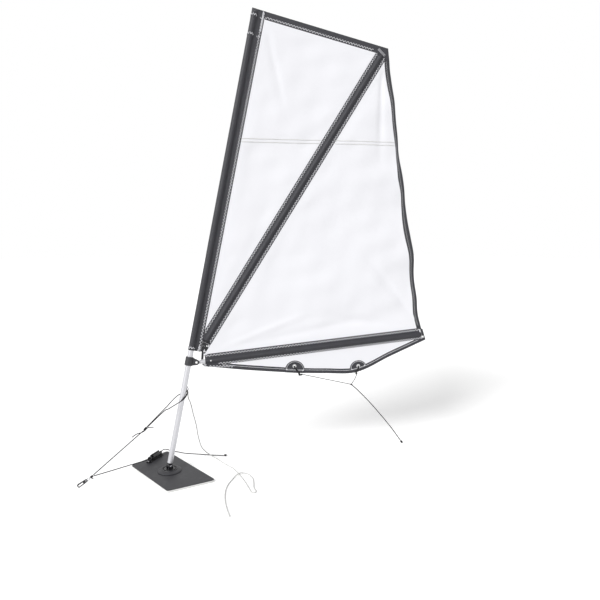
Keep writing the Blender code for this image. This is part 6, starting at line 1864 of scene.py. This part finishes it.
class CANOESAIL_OT_cords(bpy.types.Operator):
    """Rig the forestay, the control line, the white cord, the bridle and the sheet"""

    bl_idname = "canoe_sail.cords"
    bl_label = "Rig the cords"

    def execute(self, context):
        make_stay_cords()
        make_deck_cords()
        make_foot_cords()
        return {"FINISHED"}


class CANOESAIL_OT_deck_gear(bpy.types.Operator):
    """Finish the foam pad, the plate, the folding foot and the cleat"""

    bl_idname = "canoe_sail.deck_gear"
    bl_label = "Finish the deck gear"

    def execute(self, context):
        finish_parts(DECK_PARTS)
        return {"FINISHED"}


class CANOESAIL_OT_spars(bpy.types.Operator):
    """Finish the mast, the boom and the sprit"""

    bl_idname = "canoe_sail.spars"
    bl_label = "Finish the spars"

    def execute(self, context):
        finish_parts(SPAR_PARTS)
        return {"FINISHED"}


class CANOESAIL_OT_sail(bpy.types.Operator):
    """Cut and sew the panels, the sleeves, the bands and the patches"""

    bl_idname = "canoe_sail.sail"
    bl_label = "Sew the sail"

    def execute(self, context):
        make_sleeves()
        make_panels()
        make_foot_cloth()
        make_bands()
        make_heel()
        make_seams()
        make_moons()
        make_sewing()
        make_rivets()
        return {"FINISHED"}


class CANOESAIL_PT_panel(bpy.types.Panel):
    """Lists the steps and the settings that they use."""

    bl_idname = "CANOESAIL_PT_panel"
    bl_label = "Canoe Sail"
    bl_space_type = "VIEW_3D"
    bl_region_type = "UI"
    bl_category = "Canoe Sail"

    def draw(self, context):
        for step in STEPS:
            self.layout.operator(step.bl_idname)
        for group in GROUPS:
            settings = getattr(context.scene, group)
            for key in settings.bl_rna.properties.keys():
                if key not in ("rna_type", "name"):
                    self.layout.prop(settings, key)


GROUPS = {
    "canoe_sail_cloth": CanoeSailCloth,
    "canoe_sail_rigging": CanoeSailRigging,
    "canoe_sail_fittings": CanoeSailFittings,
    "canoe_sail_stage": CanoeSailStage,
}
STEPS = (
    CANOESAIL_OT_stage,
    CANOESAIL_OT_fittings,
    CANOESAIL_OT_cords,
    CANOESAIL_OT_deck_gear,
    CANOESAIL_OT_spars,
    CANOESAIL_OT_sail,
)


def register():
    """Adds the settings, the steps and the panel."""
    for name, group in GROUPS.items():
        bpy.utils.register_class(group)
        setattr(bpy.types.Scene, name, PointerProperty(type=group))
    for step in STEPS:
        bpy.utils.register_class(step)
    bpy.utils.register_class(CANOESAIL_PT_panel)


def unregister():
    """Takes them out again."""
    bpy.utils.unregister_class(CANOESAIL_PT_panel)
    for step in reversed(STEPS):
        bpy.utils.unregister_class(step)
    for name, group in GROUPS.items():
        delattr(bpy.types.Scene, name)
        bpy.utils.unregister_class(group)


def main():
    """Runs every step in order."""
    register()
    for step in STEPS:
        space, name = step.bl_idname.split(".")
        getattr(getattr(bpy.ops, space), name)()


if __name__ == "__main__":
    main()
